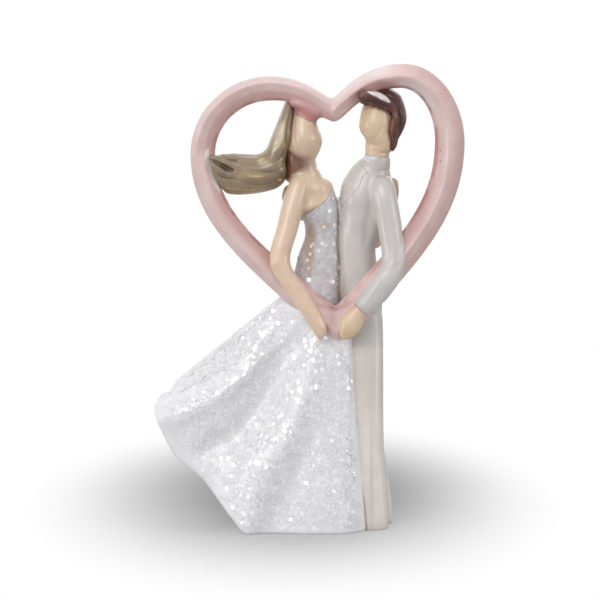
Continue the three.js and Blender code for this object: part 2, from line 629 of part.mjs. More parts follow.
const stationAt = (centre, wide, deep) => station(centre.x, centre.y, centre.z, wide, deep);

function groomLeftHand(grow) {
  const stations = [
    stationAt(handPoint(0.92 + WRIST_TENON / GROOM_HAND_LENGTH), CUFF_WIDTH - 3.2),
    stationAt(handPoint(0.92), CUFF_WIDTH - 2.4),
    stationAt(handPoint(0.45), GROOM_HAND_WIDTH, GROOM_HAND_WIDTH - 1),
    stationAt(handPoint(0.1), GROOM_HAND_WIDTH - 1.4, GROOM_HAND_WIDTH - 2),
  ];
  return sweptBody(stations, { grow, rows: 10, bluntness: 4 });
}

// The near sleeve bends at the elbow and ends in a cuff around the wrist.
function groomLeftSleeve(grow) {
  const { x, y, chest, elbow } = groom;
  const elbowX = GROOM_ELBOW_OUT;
  const cuff = handPoint(0.82);
  const forearmX = middle(elbowX, cuff.x) + 0.8;
  const forearmY = middle(y - 9, cuff.y);
  const stations = [
    station(x + 1.6, y - 3.4, chest + 3.4, SLEEVE_WIDTH - 1),
    station(x + 2.4, y - 5.4, chest, SLEEVE_WIDTH + 0.4),
    station(middle(x + 3.2, elbowX), y - 6.6, middle(chest, elbow), SLEEVE_WIDTH, SLEEVE_WIDTH - 0.6),
    station(elbowX, y - 7.8, elbow, SLEEVE_WIDTH, SLEEVE_WIDTH - 0.4),
    station(forearmX, forearmY, middle(elbow, cuff.z) - 0.8, SLEEVE_WIDTH + 0.2, SLEEVE_WIDTH - 1),
    stationAt(cuff, CUFF_WIDTH, CUFF_WIDTH - 0.4),
  ];
  return sweptBody(stations, { grow, rows: LIMB_ROWS, bluntness: 10 });
}

// The far sleeve passes behind the bride's back, and its hand lies below her hair.
function groomRightHand(grow) {
  const { x, y, shoulder } = bride;
  const stations = [
    station(x - 2.4, y + 8.4, shoulder - 5.6, CUFF_WIDTH - 3),
    station(x - 3.8, y + 7, shoulder - 4.4, CUFF_WIDTH - 2.2),
    station(x - 5, y + 4.8, shoulder - 2, GROOM_HAND_WIDTH - 1, GROOM_HAND_WIDTH - 1.6),
    station(x - 5.4, y + 2.6, shoulder + 1.4, GROOM_HAND_WIDTH - 2.4, GROOM_HAND_WIDTH - 2.6),
  ];
  return sweptBody(stations, { grow, rows: 10, bluntness: 4 });
}

function groomRightSleeve(grow) {
  const { x, y, shoulder } = bride;
  const stations = [
    station(groom.x - 2.6, y + 3.6, groom.chest + 1, SLEEVE_WIDTH - 0.6),
    station(groom.x - 7.6, y + 9.4, groom.chest - 3.6, SLEEVE_WIDTH - 0.4),
    station(x + 4.3, y + 11.4, shoulder - 6.4, SLEEVE_WIDTH - 0.8),
    station(x - 0.6, y + 10, shoulder - 6.2, SLEEVE_WIDTH - 0.9),
    station(x - 3.6, y + 7.4, shoulder - 4.6, CUFF_WIDTH - 0.2),
  ];
  return sweptBody(stations, { grow, rows: LIMB_ROWS, bluntness: 10 });
}

// Trouser legs stand on the cake and plug into the jacket. The front leg is the groom's left.
function groomLeg(side, grow) {
  const { y, hem } = groom;
  const waistX = GROOM_WAIST_OUT;
  const legY = y + (side * LEG_SPREAD) / 2;
  const footX = LEG_OUT + side * 0.8;
  const stations = [
    station(waistX + 2.2, y + side * 1.9, hem + 5, LEG_WIDTH - 2.2, LEG_DEPTH - 6.8),
    station(waistX + 2.8, y + side * 2.2, hem - 3, LEG_WIDTH - 0.6, LEG_DEPTH - 4.6),
    station(LEG_OUT - 0.8, legY, hem * 0.5, LEG_WIDTH - 0.4, LEG_DEPTH - 1.6),
    station(footX + 0.6, legY, hem * 0.1, LEG_WIDTH + 1, LEG_DEPTH),
    station(footX + 0.8, legY, hem * -0.05, LEG_WIDTH + 1.4, LEG_DEPTH),
  ];
  return sweptBody(stations, { grow, bluntness: 12 }).intersect(slabAbove(0, -grow, 0));
}
const groomLeftLeg = (grow) => groomLeg(-1, grow);
const groomRightLeg = (grow) => groomLeg(1, grow);

// The pieces in the order in which they claim their space. Each later piece is relieved by a glue gap
// wherever it meets an earlier one, so necks, wrists, shoulders and hips become seats and sockets.
const pieces = [
  ['heart_frame', heartFrame, paints.pink],
  ['bride_head', brideHead, paints.skin],
  ['groom_head', groomHead, paints.skin],
  ['groom_left_hand', groomLeftHand, paints.skin],
  ['groom_right_hand', groomRightHand, paints.skin],
  ['bride_right_arm', brideRightArm, paints.skin],
  ['bride_left_arm', brideLeftArm, paints.skin],
  ['groom_left_sleeve', groomLeftSleeve, paints.suit],
  ['groom_right_sleeve', groomRightSleeve, paints.suit],
  ['bride_shoulders', brideShoulders, paints.skin],
  ['bride_bodice', brideBodice, paints.gown],
  ['bride_skirt', brideSkirt, paints.gown],
  ['groom_left_leg', groomLeftLeg, paints.suit],
  ['groom_right_leg', groomRightLeg, paints.suit],
  ['groom_shirt_collar', groomShirtCollar, paints.shirt],
  ['groom_jacket', groomJacket, paints.suit],
  ['groom_collar', groomCollar, paints.suit],
  ['groom_left_lapel', groomLeftLapel, paints.suit],
  ['groom_right_lapel', groomRightLapel, paints.suit],
  ['bride_hair_lock', brideHairLock, paints.blonde],
  ['bride_hair_sweep', brideHairSweep, paints.blonde],
  ['groom_hair', groomHair, paints.brunette],
];

const topper = new THREE.Group();
const claimed = [];
for (const [name, shape, material] of pieces) {
  const solid = claimed.reduce((rest, earlier) => rest.subtract(earlier), shape(0));
  const mesh = new THREE.Mesh(geometryFrom(solid), material);
  mesh.name = name;
  topper.add(mesh);
  claimed.push(shape(GLUE_GAP));
}

export default topper;
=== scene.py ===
"""Looks of a painted resin wedding cake topper: a faceless couple standing inside a pink heart.

Every form is sculpted in millimetres as a distance field, blended into its neighbours as one casting,
cut into its own closed piece, meshed and painted with a procedural finish.
"""

import logging
import math
from dataclasses import dataclass, field
from enum import Enum
from functools import cached_property
from typing import Any, Callable, Generic, Optional, Protocol, Sequence, TypeVar, Union

import bpy
import numpy as np
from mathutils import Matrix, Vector


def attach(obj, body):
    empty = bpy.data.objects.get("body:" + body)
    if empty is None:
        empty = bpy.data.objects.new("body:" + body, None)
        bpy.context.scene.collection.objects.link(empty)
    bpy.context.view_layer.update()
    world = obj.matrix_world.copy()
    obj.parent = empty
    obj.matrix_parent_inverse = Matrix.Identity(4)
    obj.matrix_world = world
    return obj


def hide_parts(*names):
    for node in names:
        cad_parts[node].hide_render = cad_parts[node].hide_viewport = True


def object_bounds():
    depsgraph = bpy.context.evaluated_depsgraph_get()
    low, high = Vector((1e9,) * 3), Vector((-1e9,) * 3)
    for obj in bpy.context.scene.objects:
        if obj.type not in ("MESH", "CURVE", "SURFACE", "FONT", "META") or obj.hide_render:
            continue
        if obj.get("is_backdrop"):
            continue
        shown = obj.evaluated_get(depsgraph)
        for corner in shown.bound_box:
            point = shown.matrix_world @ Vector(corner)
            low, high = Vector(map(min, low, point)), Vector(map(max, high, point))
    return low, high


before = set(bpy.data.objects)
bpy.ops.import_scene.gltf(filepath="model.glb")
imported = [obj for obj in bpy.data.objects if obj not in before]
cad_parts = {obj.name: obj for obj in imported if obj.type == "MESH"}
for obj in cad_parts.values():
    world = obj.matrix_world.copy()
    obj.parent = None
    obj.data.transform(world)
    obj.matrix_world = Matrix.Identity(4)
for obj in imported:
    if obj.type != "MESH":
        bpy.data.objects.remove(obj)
CAD_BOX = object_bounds()

log = logging.getLogger("topper")
MM = 0.001
# Past every form, in millimetres.
FAR_OFF = 60.0
GLUE_COLOUR = (243, 239, 234)

Array = np.ndarray
Colour = tuple[float, float, float]
Flat = tuple[float, float]
Station = tuple[float, ...]
Finishes = dict[str, bpy.types.Material]


def linear(colour: Colour) -> tuple[float, float, float, float]:
    """Turn a display colour of 0 to 255 into linear light.

    Args:
        colour: red, green and blue as a screen shows them.

    Returns:
        Linear red, green, blue and an alpha of 1.
    """
    parts = [c / 255 for c in colour]
    bright = [c / 12.92 if c <= 0.04045 else ((c + 0.055) / 1.055) ** 2.4 for c in parts]
    return (bright[0], bright[1], bright[2], 1.0)


def smooth_union(a: Array, b: Array, soften: float) -> Array:
    """Join two distance fields with a fillet.

    Args:
        a: first field.
        b: second field.
        soften: width of the fillet in millimetres, 0 for a sharp crease.

    Returns:
        The joined field.
    """
    if soften <= 0:
        return np.minimum(a, b)
    share = np.clip(0.5 + 0.5 * (b - a) / soften, 0, 1)
    return b * (1 - share) + a * share - soften * share * (1 - share)


def smooth_cut(a: Array, b: Array, soften: float) -> Array:
    """Keep what lies inside both fields, with a rounded edge."""
    return -smooth_union(-a, -b, soften)


def fade(value: Array, low: float, high: float) -> Array:
    """Rise smoothly from 0 at low to 1 at high."""
    share = np.clip((value - low) / (high - low), 0, 1)
    return share * share * (3 - 2 * share)


def spline(knots: Array, places: Array) -> Array:
    """Run a centripetal curve through knots.

    Args:
        knots: one row for each knot.
        places: positions from 0 at the first knot to 1 at the last.

    Returns:
        One row for each place.
    """
    padded = np.vstack([2 * knots[0] - knots[1], knots, 2 * knots[-1] - knots[-2]])
    spot = np.clip(places, 0, 1) * (len(knots) - 1)
    index = np.minimum(spot.astype(int), len(knots) - 2)
    share = (spot - index)[:, None]
    p0, p1, p2, p3 = (padded[index + i] for i in range(4))

    def gap(a: Array, b: Array) -> Array:
        """Square root of the distance between two knots."""
        return np.maximum(np.linalg.norm(a - b, axis=1), 1e-4)[:, None] ** 0.5

    d0, d1, d2 = gap(p0, p1), gap(p1, p2), gap(p2, p3)
    leave = ((p1 - p0) / d0 - (p2 - p0) / (d0 + d1) + (p2 - p1) / d1) * d1
    arrive = ((p2 - p1) / d1 - (p3 - p1) / (d1 + d2) + (p3 - p2) / d2) * d1
    s2, s3 = share**2, share**3
    return (
        p1 * (2 * s3 - 3 * s2 + 1)
        + leave * (s3 - 2 * s2 + share)
        + p2 * (3 * s2 - 2 * s3)
        + arrive * (s3 - s2)
    )


class Form(Protocol):
    """Anything that can be sculpted."""

    def distance(self, points: Array) -> Array:
        """Signed distance in millimetres, negative inside."""
        ...

    def box(self) -> tuple[Array, Array]:
        """Lowest and highest corners in millimetres."""
        ...


@dataclass(frozen=True)
class Limb:
    """A body that swells and tapers through its stations.

    Attributes:
        stations: centre x, y, z, width in the front view, depth, and optionally how far the ridge of the
            section leans towards its wide side, as a share of the half width.
        bluntness: 2 rounds the ends like an egg, a higher number keeps the girth up to the ends.
        power: 2 gives an elliptical section, and a lower number a ridged one.
        samples: cross-sections along the body.
    """

    stations: tuple[Station, ...]
    bluntness: float = 5.0
    power: float = 2.0
    samples: int = 44

    @cached_property
    def rings(self) -> dict[str, Array]:
        """Centres, axes and half sizes of the cross-sections."""
        full = [(*s, s[3]) if len(s) == 4 else s for s in self.stations]
        rows = np.array([(*s, 0.0) if len(s) == 5 else s for s in full])
        along = (1 - np.cos(np.linspace(0, np.pi, self.samples))) / 2
        centre = spline(rows[:, :3], along)
        girth = spline(np.column_stack([rows[:, 3:5], 0 * rows[:, 3]]), along)[:, :2] / 2
        lean = np.interp(along, np.linspace(0, 1, len(rows)), rows[:, 5])
        step = 1e-3
        ahead, behind = np.minimum(along + step, 1), np.maximum(along - step, 0)
        tangent = spline(rows[:, :3], ahead) - spline(rows[:, :3], behind)
        tangent /= np.linalg.norm(tangent, axis=1)[:, None]
        deep = np.array([0.0, 1.0, 0.0]) - tangent * tangent[:, 1:2]
        deep /= np.linalg.norm(deep, axis=1)[:, None]
        rounding = np.maximum(1 - np.abs(2 * along - 1) ** self.bluntness, 0) ** (1 / self.bluntness)
        half = np.maximum(girth * rounding[:, None], 0.02)
        return {
            "centre": centre,
            "tangent": tangent,
            "wide": np.cross(deep, tangent),
            "deep": deep,
            "half": half,
            "lean": lean,
            "length": np.concatenate([[0], np.cumsum(np.linalg.norm(np.diff(centre, axis=0), axis=1))]),
        }

    def read(self, points: Array) -> tuple[Array, Array, Array]:
        """Measure points against the body.

        Args:
            points: rows of x, y, z in millimetres.

        Returns:
            The signed distance, the length along the body and the turn around it.
        """
        parts = [self._read(points[i : i + 40000]) for i in range(0, len(points), 40000)]
        distance, along, around = (np.concatenate(column) for column in zip(*parts))
        return distance, along, around

    def _read(self, points: Array) -> tuple[Array, Array, Array]:
        """Measure a handful of points, as read does."""
        r = self.rings
        centre = r["centre"]
        squares = (points**2).sum(1)[:, None] - 2 * points @ centre.T + (centre**2).sum(1)[None]
        near = np.argmin(squares, axis=1)
        ahead = ((points - centre[near]) * r["tangent"][near]).sum(1) >= 0
        low = np.clip(np.where(ahead, near, near - 1), 0, self.samples - 2)
        run = centre[low + 1] - centre[low]
        share = ((points - centre[low]) * run).sum(1) / np.maximum((run**2).sum(1), 1e-9)
        share = np.clip(share, 0, 1)[:, None]

        def between(name: str) -> Array:
            """A ring value at each point's place between two rings."""
            return r[name][low] * (1 - share) + r[name][low + 1] * share

        offset = points - between("centre")
        half = between("half")
        u = (offset * between("wide")).sum(1)
        v = (offset * between("deep")).sum(1)
        w = (offset * between("tangent")).sum(1)
        lean = (r["lean"][low] * (1 - share[:, 0]) + r["lean"][low + 1] * share[:, 0]) * half[:, 0]
        side = np.where(u > lean, half[:, 0] - lean, half[:, 0] + lean)
        a, b = np.abs(u - lean) / side, np.abs(v) / half[:, 1]
        size = np.maximum((a**self.power + b**self.power) ** (1 / self.power), 1e-6)
        reach = np.hypot(u - lean, v)
        flat = np.where(reach > 1e-6, reach * (1 - 1 / size), -np.minimum(half[:, 0], half[:, 1]))
        before, after = (low == 0) & (share[:, 0] <= 0), (low == self.samples - 2) & (share[:, 0] >= 1)
        beyond = before | after
        distance = np.where(beyond, np.hypot(np.maximum(flat, 0), w) + np.minimum(flat, 0) * 0.2, flat)
        along = r["length"][low] + share[:, 0] * (r["length"][low + 1] - r["length"][low])
        return distance, along, np.arctan2(v, u)

    def distance(self, points: Array) -> Array:
        """Signed distance in millimetres, negative inside."""
        return self.read(points)[0]

    def box(self) -> tuple[Array, Array]:
        """Lowest and highest corners in millimetres."""
        reach = self.rings["half"].max(1)[:, None]
        return (self.rings["centre"] - reach).min(0), (self.rings["centre"] + reach).max(0)


@dataclass(frozen=True)
class Dab:
    """A soft lump pressed on a form, or a hollow in it where its height is negative."""

    x: float
    y: float
    z: float
    radius: float
    height: float

    def lift(self, points: Array) -> Array:
        """How far the surface rises at each point."""
        away = ((points - np.array([self.x, self.y, self.z])) ** 2).sum(1)
        return self.height * np.exp(-away / self.radius**2)


@dataclass(frozen=True)
class Stroke:
    """A line modelled through a form along the depth: a groove where its height is negative, or a ridge."""

    line: tuple[Flat, ...]
    width: float
    height: float

    def lift(self, points: Array) -> Array:
        """Measure how far the surface rises, less towards the line's ends.

        Args:
            points: rows of x, y, z in millimetres.

        Returns:
            The rise at each point.
        """
        knots = np.array([(x, 0.0, z) for x, z in self.line])
        path = spline(knots, np.linspace(0, 1, 8 * len(knots)))[:, [0, 2]]
        flat = points[:, [0, 2]]
        best = np.full(len(flat), 1e9)
        place = np.zeros(len(flat))
        for i in range(len(path) - 1):
            run = path[i + 1] - path[i]
            share = np.clip(((flat - path[i]) @ run) / max(run @ run, 1e-9), 0, 1)
            away = ((flat - path[i] - share[:, None] * run) ** 2).sum(1)
            closer = away < best
            best = np.where(closer, away, best)
            place = np.where(closer, (i + share) / (len(path) - 1), place)
        taper = np.sqrt(np.maximum(4 * place * (1 - place), 0.02))
        return self.height * taper * np.exp(-best / (self.width * np.maximum(taper, 0.4)) ** 2)


def painted(marks: Sequence[Union[Dab, Stroke]], points: Array) -> Array:
    """How strongly marks colour each point, from 0 to 1."""
    return np.clip(sum((mark.lift(points) for mark in marks), 0 * points[:, 0]), 0, 1)


@dataclass(frozen=True)
class Worked:
    """A form with lumps, hollows and strokes worked into it, trimmed to an outline of the front view."""

    base: Form
    marks: tuple[Union[Dab, Stroke], ...] = ()
    outline: tuple[Flat, ...] = ()
    rounding: float = 0.5
    grow: float = 0.0
    near: float = -FAR_OFF
    far: float = FAR_OFF

    def distance(self, points: Array) -> Array:
        """Signed distance in millimetres, negative inside."""
        value = self.base.distance(points) - self.grow
        close = np.abs(value) < 4
        if self.marks and close.any():
            value[close] -= sum(mark.lift(points[close]) for mark in self.marks)
        if self.outline:
            value = smooth_cut(value, outline_distance(points[:, [0, 2]], self.outline), self.rounding)
        if self.near > -FAR_OFF or self.far < FAR_OFF:
            slab = np.maximum(self.near - points[:, 1], points[:, 1] - self.far)
            value = smooth_cut(value, slab, self.rounding)
        return value

    def box(self) -> tuple[Array, Array]:
        """Lowest and highest corners in millimetres."""
        low, high = self.base.box()
        low, high = low - self.grow - 0.6, high + self.grow + 0.6
        if self.outline:
            x, z = zip(*self.outline)
            low = np.maximum(low, [min(x) - 1, self.near - 1, min(z) - 1])
            high = np.minimum(high, [max(x) + 1, self.far + 1, max(z) + 1])
        return low, high


@dataclass(frozen=True)
class Joined:
    """Several forms run together with fillets."""

    forms: tuple[Form, ...]
    soften: float

    def distance(self, points: Array) -> Array:
        """Signed distance in millimetres, negative inside."""
        value = self.forms[0].distance(points)
        for form in self.forms[1:]:
            value = smooth_union(value, form.distance(points), self.soften)
        return value

    def box(self) -> tuple[Array, Array]:
        """Lowest and highest corners in millimetres."""
        boxes = [form.box() for form in self.forms]
        return np.min([b[0] for b in boxes], 0), np.max([b[1] for b in boxes], 0)


def outline_distance(flat: Array, outline: Sequence[Flat]) -> Array:
    """Signed distance to a closed outline of the front view.

    Args:
        flat: rows of x and z.
        outline: corners in order.

    Returns:
        The distances, negative inside.
    """
    corners = np.array(outline)
    best = np.full(len(flat), 1e9)
    sign = np.ones(len(flat))
    for i, here in enumerate(corners):
        there = corners[i - 1]
        edge = there - here
        offset = flat - here
        share = np.clip((offset @ edge) / (edge @ edge), 0, 1)
        best = np.minimum(best, ((offset - share[:, None] * edge) ** 2).sum(1))
        above = flat[:, 1] >= here[1]
        below = flat[:, 1] < there[1]
        turn = edge[0] * offset[:, 1] > edge[1] * offset[:, 0]
        crossed = (above & below & turn) | (~above & ~below & ~turn)
        sign = np.where(crossed, -sign, sign)
    return sign * np.sqrt(best)


@dataclass
class Surface:
    """A mesh in millimetres with a normal and any painted values at each point."""

    points: Array
    faces: Array
    normals: Optional[Array] = None
    values: dict[str, Array] = field(default_factory=dict)


@dataclass(frozen=True)
class Mesher:
    """Turns a distance field into a closed mesh of quads.

    Attributes:
        voxel: spacing of the grid in millimetres.
        coarse: fine steps in a coarse one.
    """

    voxel: float = 0.4
    coarse: int = 4

    def sample(self, distance: Callable[[Array], Array], low: Array, high: Array) -> tuple[Array, Array]:
        """Fill a grid with the field, finely only near the surface.

        Args:
            distance: the field.
            low: lowest corner.
            high: highest corner.

        Returns:
            The grid of values and its first corner.
        """
        step = self.voxel * self.coarse
        start = low - step
        counts = np.ceil((high - low) / step).astype(int) + 3
        axes = [start[i] + step * np.arange(counts[i]) for i in range(3)]
        rough = distance(np.stack(np.meshgrid(*axes, indexing="ij"), -1).reshape(-1, 3)).reshape(counts)
        values = rough
        for axis in range(3):
            values = np.repeat(values, self.coarse, axis=axis)
        half = self.coarse // 2
        grid = np.stack(np.meshgrid(*[np.arange(n) for n in values.shape], indexing="ij"), -1)
        near = np.abs(values) < 1.3 * step
        spots = start + self.voxel * (grid[near] - half)
        values[near] = distance(spots)
        return values, start - self.voxel * half

    def mesh(self, distance: Callable[[Array], Array], low: Array, high: Array) -> Surface:
        """Mesh the surface where a field is zero.

        Args:
            distance: the field.
            low: lowest corner to look in.
            high: highest corner to look in.

        Returns:
            The surface, with its normals.
        """
        values, origin = self.sample(distance, low, high)
        shape = np.array(values.shape) - 1
        inside = values < 0

        def corner(grid: Array, c: tuple[int, int, int]) -> Array:
            """One corner's values of every cell."""
            return grid[c[0] : shape[0] + c[0], c[1] : shape[1] + c[1], c[2] : shape[2] + c[2]]

        corners = [(i, j, k) for i in (0, 1) for j in (0, 1) for k in (0, 1)]
        count = sum(corner(inside, c).astype(np.int8) for c in corners)
        active = (count > 0) & (count < 8)
        number = np.full(shape, -1)
        number[active] = np.arange(active.sum())
        total = np.zeros((int(active.sum()), 3))
        crossings = np.zeros(len(total))
        for a in corners:
            for axis in range(3):
                if a[axis]:
                    continue
                b = tuple(1 if i == axis else a[i] for i in range(3))
                va, vb = corner(values, a)[active], corner(values, b)[active]
                hit = (va < 0) != (vb < 0)
                place = np.tile(np.array(a, float), (len(va), 1))
                place[:, axis] = np.where(hit, va / np.where(hit, va - vb, 1), 0)
                total[hit] += place[hit]
                crossings[hit] += 1
        points = origin + self.voxel * (np.argwhere(active) + total / crossings[:, None])
        faces = []
        for axis in range(3):
            one, two = [i for i in range(3) if i != axis]
            first = np.take(inside, range(values.shape[axis] - 1), axis=axis)
            second = np.take(inside, range(1, values.shape[axis]), axis=axis)
            edges = np.argwhere(first != second)
            edges = edges[(edges[:, one] > 0) & (edges[:, two] > 0)]
            edges = edges[(edges[:, one] < shape[one]) & (edges[:, two] < shape[two])]
            ring = []
            for back_one, back_two in ((0, 0), (1, 0), (1, 1), (0, 1)):
                cell = edges.copy()
                cell[:, one] -= back_one
                cell[:, two] -= back_two
                ring.append(number[tuple(cell.T)])
            quads = np.column_stack(ring)
            outward = first[tuple(edges.T)] != (axis == 1)
            quads[~outward] = quads[~outward][:, ::-1]
            faces.append(quads)
        return self.settle(distance, Surface(points, np.vstack(faces)))

    def settle(self, distance: Callable[[Array], Array], surface: Surface) -> Surface:
        """Draw the points on to the true surface and read their normals.

        Args:
            distance: the field.
            surface: the mesh to draw in.

        Returns:
            The same mesh, settled.
        """
        for step in (0.15, 0.1):
            slope = self.slope(distance, surface.points, step)
            steep = np.maximum((slope**2).sum(1), 0.05)
            move = (distance(surface.points) / steep)[:, None] * slope
            surface.points = surface.points - np.clip(move, -0.3 * self.voxel, 0.3 * self.voxel)
        slope = self.slope(distance, surface.points, 0.5 * self.voxel)
        surface.normals = slope / np.maximum(np.linalg.norm(slope, axis=1), 1e-6)[:, None]
        return surface

    @staticmethod
    def slope(distance: Callable[[Array], Array], points: Array, step: float) -> Array:
        """Measure a field's gradient by small differences.

        Args:
            distance: the field.
            points: rows of x, y, z in millimetres.
            step: the difference.

        Returns:
            The gradient at each point.
        """
        columns = []
        for axis in range(3):
            shift = np.zeros(3)
            shift[axis] = step
            columns.append((distance(points + shift) - distance(points - shift)) / (2 * step))
        return np.column_stack(columns)


@dataclass(frozen=True)
class Meeting:
    """How a piece meets a neighbour.

    Attributes:
        form: the neighbour.
        soften: width of the fillet between them.
        overlap: how far the piece runs on past the line where they meet.
        cuts: whether the piece ends at that line.
        stains: whether paint has gathered in the crease.
    """

    form: Form
    soften: float = 0.0
    overlap: float = 0.5
    cuts: bool = True
    stains: bool = True


@dataclass(frozen=True)
class Block:
    """The part of space that a paint covers: between two heights and between two depths."""

    low: float = -90.0
    high: float = 200.0
    near: float = -90.0
    far: float = 90.0

    def distance(self, points: Array) -> Array:
        """Signed distance in millimetres, negative inside."""
        y, z = points[:, 1], points[:, 2]
        return np.maximum(np.maximum(self.low - z, z - self.high), np.maximum(self.near - y, y - self.far))


@dataclass
class Piece:
    """One painted piece of the casting, which stands for one solid of the model.

    Attributes:
        name: name of the piece and of the solid.
        slot: name of its finish in the record.
        form: its own shape.
        meetings: the neighbours that it runs into.
        voxel: fineness of the mesh.
        floor: lowest height where it stands on something, or None.
        stains: marks in the wash colour: stains where the wash has run over the paint, and painted shade.
        block: the part of a shared form that this piece is.
        marks: grooves worked across the joints with its neighbours.
        glue: pale smears of glue.
        finish: name of its finish where that differs from the slot.
    """

    name: str
    slot: str
    form: Form
    meetings: tuple[Meeting, ...] = ()
    voxel: float = 0.4
    floor: Optional[float] = None
    stains: tuple[Union[Dab, Stroke], ...] = ()
    block: Block = Block()
    marks: tuple[Stroke, ...] = ()
    glue: tuple[Union[Dab, Stroke], ...] = ()
    finish: str = ""

    def skin(self, points: Array) -> tuple[Array, Array]:
        """The casting's surface round the piece.

        Args:
            points: rows of x, y, z in millimetres.

        Returns:
            The signed distance to the piece blended into its neighbours, and to where it ends.
        """
        own = self.form.distance(points)
        value = own
        cut = self.block.distance(points)
        for meeting in self.meetings:
            if meeting.cuts or meeting.soften > 0:
                other = meeting.form.distance(points)
                if meeting.soften > 0:
                    value = smooth_union(value, other, meeting.soften)
                if meeting.cuts:
                    cut = np.maximum(cut, 0.5 * (own - other) - meeting.overlap)
        close = np.abs(value) < 3
        if self.marks and close.any():
            value[close] -= sum(mark.lift(points[close]) for mark in self.marks)
        return value, cut

    def distance(self, points: Array) -> Array:
        """Signed distance to the piece, cut where its neighbours begin."""
        skin, cut = self.skin(points)
        value = np.maximum(skin, cut)
        if self.floor is not None:
            value = smooth_cut(value, self.floor - points[:, 2], 0.3)
        return value

    def crease(self, points: Array) -> Array:
        """Measure how deep points lie in the creases beside the neighbours.

        Args:
            points: rows of x, y, z in millimetres.

        Returns:
            1 in a crease and 0 well away from any.
        """
        value = np.zeros(len(points))
        for meeting in self.meetings:
            if meeting.stains:
                away = np.maximum(meeting.form.distance(points), 0)
                value = np.maximum(value, np.exp(-((away / 0.9) ** 1.2)))
        return value

    def surface(self) -> Surface:
        """Sculpt and mesh the piece."""
        low, high = self.form.box()
        mesher = Mesher(self.voxel * (1.0))
        result = mesher.mesh(self.distance, low - 1, high + 1)
        on_skin = np.abs(self.skin(result.points)[0]) < 0.3 * mesher.voxel
        if self.floor is not None:
            on_skin &= result.points[:, 2] > self.floor + 0.6
        slope = mesher.slope(lambda spots: self.skin(spots)[0], result.points[on_skin], 0.5 * mesher.voxel)
        result.normals[on_skin] = slope / np.maximum(np.linalg.norm(slope, axis=1), 1e-6)[:, None]
        result.values["crease"] = self.crease(result.points)
        result.values["stain_and_painted_shade"] = painted(self.stains, result.points)
        result.values["glue"] = painted(self.glue, result.points)
        return result


def place(
    surface: Surface, name: str, material: bpy.types.Material, slot: str, *nodes: str
) -> bpy.types.Object:
    """Make a Blender object of a surface and let it stand for solids of the model.

    Args:
        surface: the mesh in millimetres.
        name: name of the object.
        material: its finish.
        slot: the finish's name in the record; not used.
        *nodes: the solids that it stands for.

    Returns:
        The object.
    """
    mesh = bpy.data.meshes.new(name)
    mesh.from_pydata((surface.points * MM).tolist(), [], surface.faces.tolist())
    mesh.polygons.foreach_set("use_smooth", [True] * len(mesh.polygons))
    for key, values in surface.values.items():
        mesh.attributes.new(key, "FLOAT", "POINT").data.foreach_set("value", values.astype(np.float32))
    mesh.validate()
    if surface.normals is not None and len(mesh.vertices) == len(surface.normals):
        mesh.normals_split_custom_set_from_vertices(surface.normals.tolist())
    mesh.materials.append(material)
    piece = bpy.data.objects.new(name, mesh)
    bpy.context.scene.collection.objects.link(piece)
    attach(piece, "root")
    if nodes:
        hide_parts(*nodes)
    log.info("%s: %d faces", name, len(mesh.polygons))
    return piece


Value = Union["Sock", float]


class Sock:
    """A socket of a material on which arithmetic adds Math nodes."""

    def __init__(self, shader: "Shader", socket: bpy.types.NodeSocket) -> None:
        """Wrap a socket.

        Args:
            shader: the material that it belongs to.
            socket: an output socket.
        """
        self.shader = shader
        self.socket = socket

    def math(self, operation: str, *others: Value, first: bool = True) -> "Sock":
        """Add a Math node.

        Args:
            operation: its operation.
            *others: its other operands.
            first: whether this socket is the first operand.

        Returns:
            The node's output.
        """
        operands: list[Value] = [self, *others] if first else [*others, self]
        inputs = dict(enumerate(operands))
        return self.shader.node("ShaderNodeMath", {"operation": operation}, inputs)

    def __add__(self, other: Value) -> "Sock":
        """Sum."""
        return self.math("ADD", other)

    __radd__ = __add__

    def __sub__(self, other: Value) -> "Sock":
        """Difference."""
        return self.math("SUBTRACT", other)

    def __rsub__(self, other: Value) -> "Sock":
        """Difference from a number."""
        return self.math("SUBTRACT", other, first=False)

    def __mul__(self, other: Value) -> "Sock":
        """Product."""
        return self.math("MULTIPLY", other)

    __rmul__ = __mul__

    def largest(self, other: Value) -> "Sock":
        """The larger of two values."""
        return self.math("MAXIMUM", other)

    def between(self, low: float, high: float) -> "Sock":
        """Rise smoothly from 0 at low to 1 at high."""
        settings = {"interpolation_type": "SMOOTHSTEP"}
        inputs = {"Value": self, "From Min": low, "From Max": high}
        return self.shader.node("ShaderNodeMapRange", settings, inputs)


Owner = TypeVar("Owner", bpy.types.Material, bpy.types.World)


